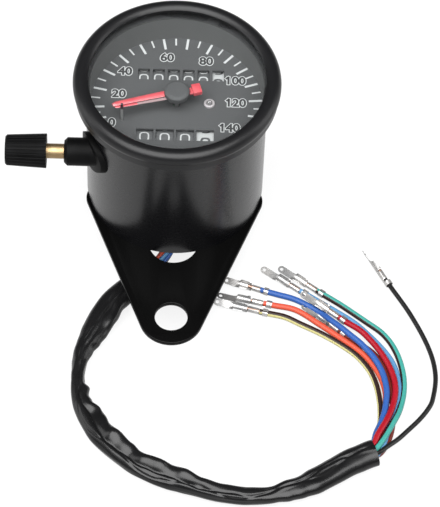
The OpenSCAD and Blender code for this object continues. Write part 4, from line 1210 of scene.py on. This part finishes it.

# %% [markdown]
# The stop pin. The needle leans on a pin of dark wire that is pressed into the dial and stands
# higher than the needle, so it shows as a dark bar across the needle's tip. Its foot was painted
# with the dial and can hardly be seen against it; here the foot is a lighter grey than the dial,
# painted light that makes up for the little light that an upright pin gets.

# %% Stop pin
STOP_PIN_R = 0.38
STOP_PIN_TOP = 60.6
STOP_PIN_FOOT = DIAL_Z - 0.5
PIN_BARE_FROM = 0.0582
# The foot's light grey is painted light for the upright pin; above PIN_BARE_FROM is the dark wire
two_part("pin_paint", 2600, PIN_BARE_FROM, (rgb(0.19), rgb(0.19)),
         (rgb(0.02, 0.01, 0.015), rgb(0.04, 0.02, 0.03)), 0.45)
stop_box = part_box("stop_pin")
pin_x, pin_y = [(stop_box[0][i] + stop_box[1][i]) / 2 * PER_MM for i in (0, 1)]
pin = spun([(0, STOP_PIN_TOP, 0), (STOP_PIN_R, STOP_PIN_TOP, 0.15), (STOP_PIN_R, STOP_PIN_FOOT, 0),
            (0, STOP_PIN_FOOT, 0)], 24)
pin.transform(Matrix.Translation((pin_x, pin_y, 0)))
piece("stop_pin_wire", pin, "case", "pin_black", "stop_pin", coat="pin_paint")
print("the pin stands", round(math.hypot(pin_x, pin_y), 2), "mm from the pivot")

# %% [markdown]
# Lettering. The plain numbers are set as text, then made a flat mesh before they get their place,
# so that nothing live is left. A number on the dial is a dark figure on a slightly heavier white
# one, which leaves a white outline. The heavier one is the same text with a round bevel on its
# outlines, pressed flat.

# %% Numbers as flat meshes
PRESSED = 0.015


def set_text(text, heavy):
    curve = bpy.data.curves.new("figure", "FONT")
    curve.body = text
    curve.bevel_depth = heavy
    holder = bpy.data.objects.new("figure", curve)
    mesh = bpy.data.meshes.new_from_object(holder)
    bm = bmesh.new()
    bm.from_mesh(mesh)
    bpy.data.objects.remove(holder)
    bpy.data.meshes.remove(mesh)
    return bm


def extent(bm, axis):
    values = [vert.co[axis] for vert in bm.verts]
    return min(values), max(values)


def lettering(text, height, width=None, heavy=0):
    """A text as a flat bmesh in millimetres, centred; heavy widens its strokes by that much."""
    plain = set_text(text, 0)
    left, right = extent(plain, 0)
    low, high = extent(plain, 1)
    plain.free()
    tall = height / (high - low)
    wide = width / (right - left) if width else tall
    bm = set_text(text, heavy / tall)
    bmesh.ops.translate(bm, vec=(-(left + right) / 2, -(low + high) / 2, 0), verts=bm.verts)
    flat = PRESSED / (heavy / tall) if heavy else 1
    bmesh.ops.scale(bm, vec=(wide, tall, flat), verts=bm.verts)
    return bm


trial = lettering("60", 3)
print("a 60 that is 3 mm high is", round(extent(trial, 0)[1] * 2, 2), "mm wide")
trial.free()

# %% [markdown]
# The dial's strokes. Twenty-nine strokes stand round the dial from 0 to 140, every second one long
# and thick, and at both ends they stand a little closer. Screen printing leaves an ink film of a
# few hundredths of a millimetre, so each stroke is a very thin block.

# %% Strokes on the dial
INK = 0.03
TICKS = 29
# Which stroke, and its degrees clockwise from the dial's top: the scale is closer at its ends
TICK_TURNS = [(0, -104.8), (2, -94.0), (18, 40.3), (28, 114.6)]
TICK_OUT = 26.1
TICK_LONG = (22.0, 0.72)
TICK_SHORT = (23.4, 0.5)


def print_white():
    finish = Finish("print_white")
    wear = finish.noise(2200, 3)
    base = finish.mix(wear, rgb(0.35), rgb(0.44))
    finish.painted(Base_Color=base, Roughness=0.5 + wear * 0.1)


print_white()
strokes = bmesh.new()
for k in range(TICKS):
    inner, width = TICK_SHORT if k % 2 else TICK_LONG
    box = block(strokes, (width, TICK_OUT - inner, INK), (0, (TICK_OUT + inner) / 2, DIAL_Z + INK / 2))
    turn = Matrix.Rotation(-math.radians(along(TICK_TURNS, k)[0]), 3, "Z")
    bmesh.ops.rotate(strokes, matrix=turn, verts=box)
piece("dial_strokes", strokes, "case", "print_white")

# %% [markdown]
# The dial's numbers lie in the same film of ink as the strokes. The type's 1 is a bare bar, while
# the dial's has a flag, so a small turned box is added to it.

# %% Numbers on the dial
LABELS = {
    "0": (-19.5, -7.6), "20": (-17.7, 3.7), "40": (-16.1, 12.6), "60": (-3.3, 18.5),
    "80": (8.7, 17.4), "100": (18.1, 9.9), "120": (18.3, 1.2), "140": (16.5, -8.6)}
LABEL_H = 2.95
LABEL_BOLD = 0.14
LABEL_EDGE = 0.38
FLAG = (1.0, 0.34)
FLAG_AT = (-0.12, 0.5)
FLAG_TURN = math.radians(42)
BACKS_Z = DIAL_Z + 0.02
FRONTS_Z = DIAL_Z + 0.05


def label(text, heavy):
    """A number of the dial, its strokes widened by heavy, with the flag of a 1."""
    bm = lettering(text, LABEL_H, None, heavy)
    if text[0] == "1":
        left, top = extent(bm, 0)[0] + heavy, LABEL_H / 2
        block(bm, (FLAG[0] + 2 * heavy, FLAG[1] + 2 * heavy, INK),
              (left + FLAG_AT[0], top - FLAG_AT[1], 0), FLAG_TURN)
    return bm


backs, fronts = bmesh.new(), bmesh.new()
for text, (x, y) in LABELS.items():
    stamp(backs, label(text, LABEL_EDGE), Matrix.Translation((x, y, BACKS_Z)))
    stamp(fronts, label(text, LABEL_BOLD), Matrix.Translation((x, y, FRONTS_Z)))
piece("dial_number_edges", backs, "case", "print_white", heal=False)
piece("dial_numbers", fronts, "case", "print_dark", heal=False)

# %% [markdown]
# The number drums. Each has its figures, 0 to 9, round its rim, 36 degrees apart. The drums stand a
# little rolled, as they do in the photograph, which shows the top of each 0 and the foot of the 9
# above it.

# %% Places of the drums
AXLE_Z = 44.0127
DRUM_R = 8
ODO_Y = 11
ODO_PITCH = 4.56
ODO_X = [-10.3 + ODO_PITCH * i for i in range(6)]
TRIP_Y = -12.2
TRIP_PITCH = 6.16
TRIP_X = [-9.54 + TRIP_PITCH * i for i in range(4)]
ODO_DRUM_W = 3.5
TRIP_DRUM_W = 5.4
print(len(ODO_X), "drums of the odometer and", len(TRIP_X), "of the trip counter")

# %% [markdown]
# Noughts and nines. They are the figures that show, and on the real drums they are squarish, so
# they are drawn: a nought is two loops of edges, one inside the other, bridged, and a nine is a
# nought with a gap in its lower left and a bar across its middle. The other figures are set as text.

# %% Noughts and nines
SQUARISH = 2.9
NINE_GAP = 0.3


def zero(height, width, stroke):
    """A squarish nought, flat and centred."""
    bm = bmesh.new()
    edges = []
    for shrink in (0, stroke):
        loop = bmesh.ops.create_circle(bm, segments=56, radius=1)["verts"]
        for vert in loop:
            x, y = vert.co.x, vert.co.y
            reach = (abs(x) ** SQUARISH + abs(y) ** SQUARISH) ** (-1 / SQUARISH)
            vert.co = (x * reach * (width / 2 - shrink), y * reach * (height / 2 - shrink), 0)
        edges += edges_of(loop)
    bmesh.ops.bridge_loops(bm, edges=edges)
    return bm


def nine(height, width, stroke):
    """A nought with its lower left side cut out and a bar across its middle."""
    bm = zero(height, width, stroke)
    centres = [(face, face.calc_center_median()) for face in bm.faces]
    gone = [face for face, at in centres if at.x < 0 and -NINE_GAP * height < at.y < 0]
    bmesh.ops.delete(bm, geom=gone, context="FACES")
    bar = bmesh.ops.create_grid(bm, x_segments=4, y_segments=1, size=0.5)["verts"]
    bmesh.ops.scale(bm, vec=(width - stroke, stroke, 1), verts=bar)
    return bm


trial = nine(4, 3, 0.5)
print("a nine has", len(trial.faces), "faces")
trial.free()

# %% [markdown]
# Round the drum. A flat figure is cut into narrow rows, which are then bent round the drum. Each of
# the ten figures is a tenth of a turn from the next.

# %% Bend figures round a drum
ROW = 0.3
FILM = 0.03
ONE_WIDTH = 0.4
SET_WIDTH = 0.86


def bent(bm, reach, x, y):
    """Bends a flat figure round a drum; reach is how far its centre is from the drum's top."""
    low, high = extent(bm, 1)
    for k in range(1, math.ceil((high - low) / ROW)):
        geom = bm.verts[:] + bm.edges[:] + bm.faces[:]
        bmesh.ops.bisect_plane(bm, geom=geom, plane_co=(0, low + ROW * k, 0), plane_no=(0, 1, 0))
    radius = DRUM_R + FILM
    for vert in bm.verts:
        angle = (vert.co.y + reach) / radius
        vert.co = (vert.co.x + x, y + radius * math.sin(angle), AXLE_Z + radius * math.cos(angle))


def figures(x, y, lift, height, width, stroke):
    ring = bmesh.new()
    for digit in range(10):
        if digit in (0, 9):
            figure = (nine if digit else zero)(height, width, stroke)
        else:
            figure = lettering(str(digit), height, width * (ONE_WIDTH if digit == 1 else SET_WIDTH))
        bent(figure, lift - math.radians(36) * DRUM_R * digit, x, y)
        stamp(ring, figure)
    return ring


print("figures stand", round(2 * math.pi * DRUM_R / 10, 2), "mm apart round a drum")

# %% [markdown]
# The drums' print. Each drum's figures are a piece that rides on the drum's body. The odometer's
# drums turn one by one, and the trip counter's four turn together. The tenths are dark on white.

# %% Print the drums
STROKE = 0.44
DARK_STROKE = 0.68
DARK_H = 3.3
ODO_FIGURE = (3.78, 2.95)
TRIP_FIGURE = (3.86, 3.05)
BAND_R = DRUM_R + 0.012
# How far each drum is rolled, in millimetres along its rim
ODO_LIFT = [-0.35, -0.15, -0.4, -0.65, -0.85, -1.38]
TRIP_LIFT = [0.22, -0.03, -0.11, -1.23]
DRUMS = ["ten_thousands_drum", "thousands_drum", "hundreds_drum", "tens_drum", "units_drum",
         "tenths_drum"]
for i, body in enumerate(DRUMS):
    ink, stroke = ("print_white", STROKE) if i < 5 else ("dial_grey", DARK_STROKE)
    height = ODO_FIGURE[0] if i < 5 else DARK_H
    ring = figures(ODO_X[i], ODO_Y, ODO_LIFT[i], height, ODO_FIGURE[1], stroke)
    piece(f"odometer_figures_{i + 1}", ring, body, ink, heal=False)
white_ink, dark_ink = bmesh.new(), bmesh.new()
for i, x in enumerate(TRIP_X):
    height, stroke = (TRIP_FIGURE[0], STROKE) if i < 3 else (DARK_H, DARK_STROKE)
    ring = figures(x, TRIP_Y, TRIP_LIFT[i], height, TRIP_FIGURE[1], stroke)
    stamp(white_ink if i < 3 else dark_ink, ring)
piece("trip_figures", white_ink, "trip_counter", "print_white", heal=False)
piece("trip_figures_last", dark_ink, "trip_counter", "dial_grey", heal=False)
band = bmesh.new()
bmesh.ops.create_cone(band, cap_ends=False, segments=SPIN_STEPS, radius1=BAND_R, radius2=BAND_R,
                      depth=TRIP_DRUM_W)
band.transform(Matrix.Translation((TRIP_X[3], TRIP_Y, AXLE_Z)) @ Matrix.Rotation(math.pi / 2, 4, "Y"))
piece("trip_band", band, "trip_counter", "drum_white")

# %% [markdown]
# The counters' windows. In the photograph they stand a little higher than the drums' tops, so the
# dial plate is copied with its windows moved up by that much. Thin bars fill the gaps between the
# drums, and a strip under the plate closes the gap behind them, so that no light falls into the
# movement.

# %% Dial plate, bars and strips
WINDOW_HALF = 2.1
WINDOW_RISE = {ODO_Y: 0.68, TRIP_Y: 0.4}
WINDOW_REACH = 16
PLATE_T = 0.6
BAR_T = 0.55
BAR_GAP = 0.1
BAR_SINK = 0.31
SHADE_BACK = 0.9
SHADE_T = 0.24
SHADE_GAP = 0.08
# Middle, counter, width of the strip
SHADES = ((1.1, ODO_Y, 26.3), (-0.3, TRIP_Y, 23.4))
plate = merged("dial_plate")
for vert in plate.verts:
    for y, rise in WINDOW_RISE.items():
        if abs(abs(vert.co.y - y) - WINDOW_HALF) < 0.05 and abs(vert.co.x) < WINDOW_REACH:
            vert.co.y += rise
            break
piece("dial_plate_painted", plate, "case", "dial_grey", "dial_plate")

bars = bmesh.new()
for x_list, y, width, pitch in ((ODO_X, ODO_Y, ODO_DRUM_W, ODO_PITCH),
                                (TRIP_X, TRIP_Y, TRIP_DRUM_W, TRIP_PITCH)):
    for x in x_list[:-1]:
        block(bars, (pitch - width - BAR_GAP, 2 * WINDOW_HALF, BAR_T),
              (x + pitch / 2, y + WINDOW_RISE[y], DIAL_Z - BAR_SINK))
piece("window_bars", bars, "case", "dial_grey")

shades = bmesh.new()
for middle, y, width in SHADES:
    back = WINDOW_HALF + WINDOW_RISE[y] + SHADE_BACK
    low = AXLE_Z + math.sqrt(DRUM_R ** 2 - (back - SHADE_T / 2) ** 2) + SHADE_GAP
    high = DIAL_Z - PLATE_T
    block(shades, (width, SHADE_T, high - low), (middle, y + back, (low + high) / 2))
# The strip takes the ring's lighter grey: painted light against the shade under the dial plate
piece("window_shades", shades, "case", "dial_grey", coat="ring_grey")

# %% [markdown]
# The indicator lamp. It is a small lamp with a white rim, a dark cup and a clear cast dome, and in
# the photograph the rim shows as a pinkish ring with a dark middle.

# %% Indicator lamp
LED_AT = (9.9, 0.4, DIAL_Z)
LED_STEPS = 48
ring = spun([(0.95, 0.02, 0), (0.95, 0.62, 0.1), (1.2, 0.78, 0.12), (1.66, 0.62, 0.15), (1.7, 0.02, 0),
             (0.95, 0.02, 0)], LED_STEPS)
cup = spun([(0, 0.08, 0), (0.94, 0.08, 0), (0.94, 0.5, 0)], LED_STEPS)
dome = spun([(0.93, 0.1, 0), (0.93, 0.75, 0.2), (0.8, 1.25, 0.3), (0.4, 1.6, 0.2), (0, 1.65, 0)],
            LED_STEPS)
for part, name, slot in ((ring, "lamp_rim", "lamp_white"), (cup, "lamp_cup", "pin_black"),
                         (dome, "lamp_dome", "lamp_clear")):
    part.transform(Matrix.Translation(LED_AT))
    piece(name, part, "case", slot, "indicator_led")

# %% [markdown]
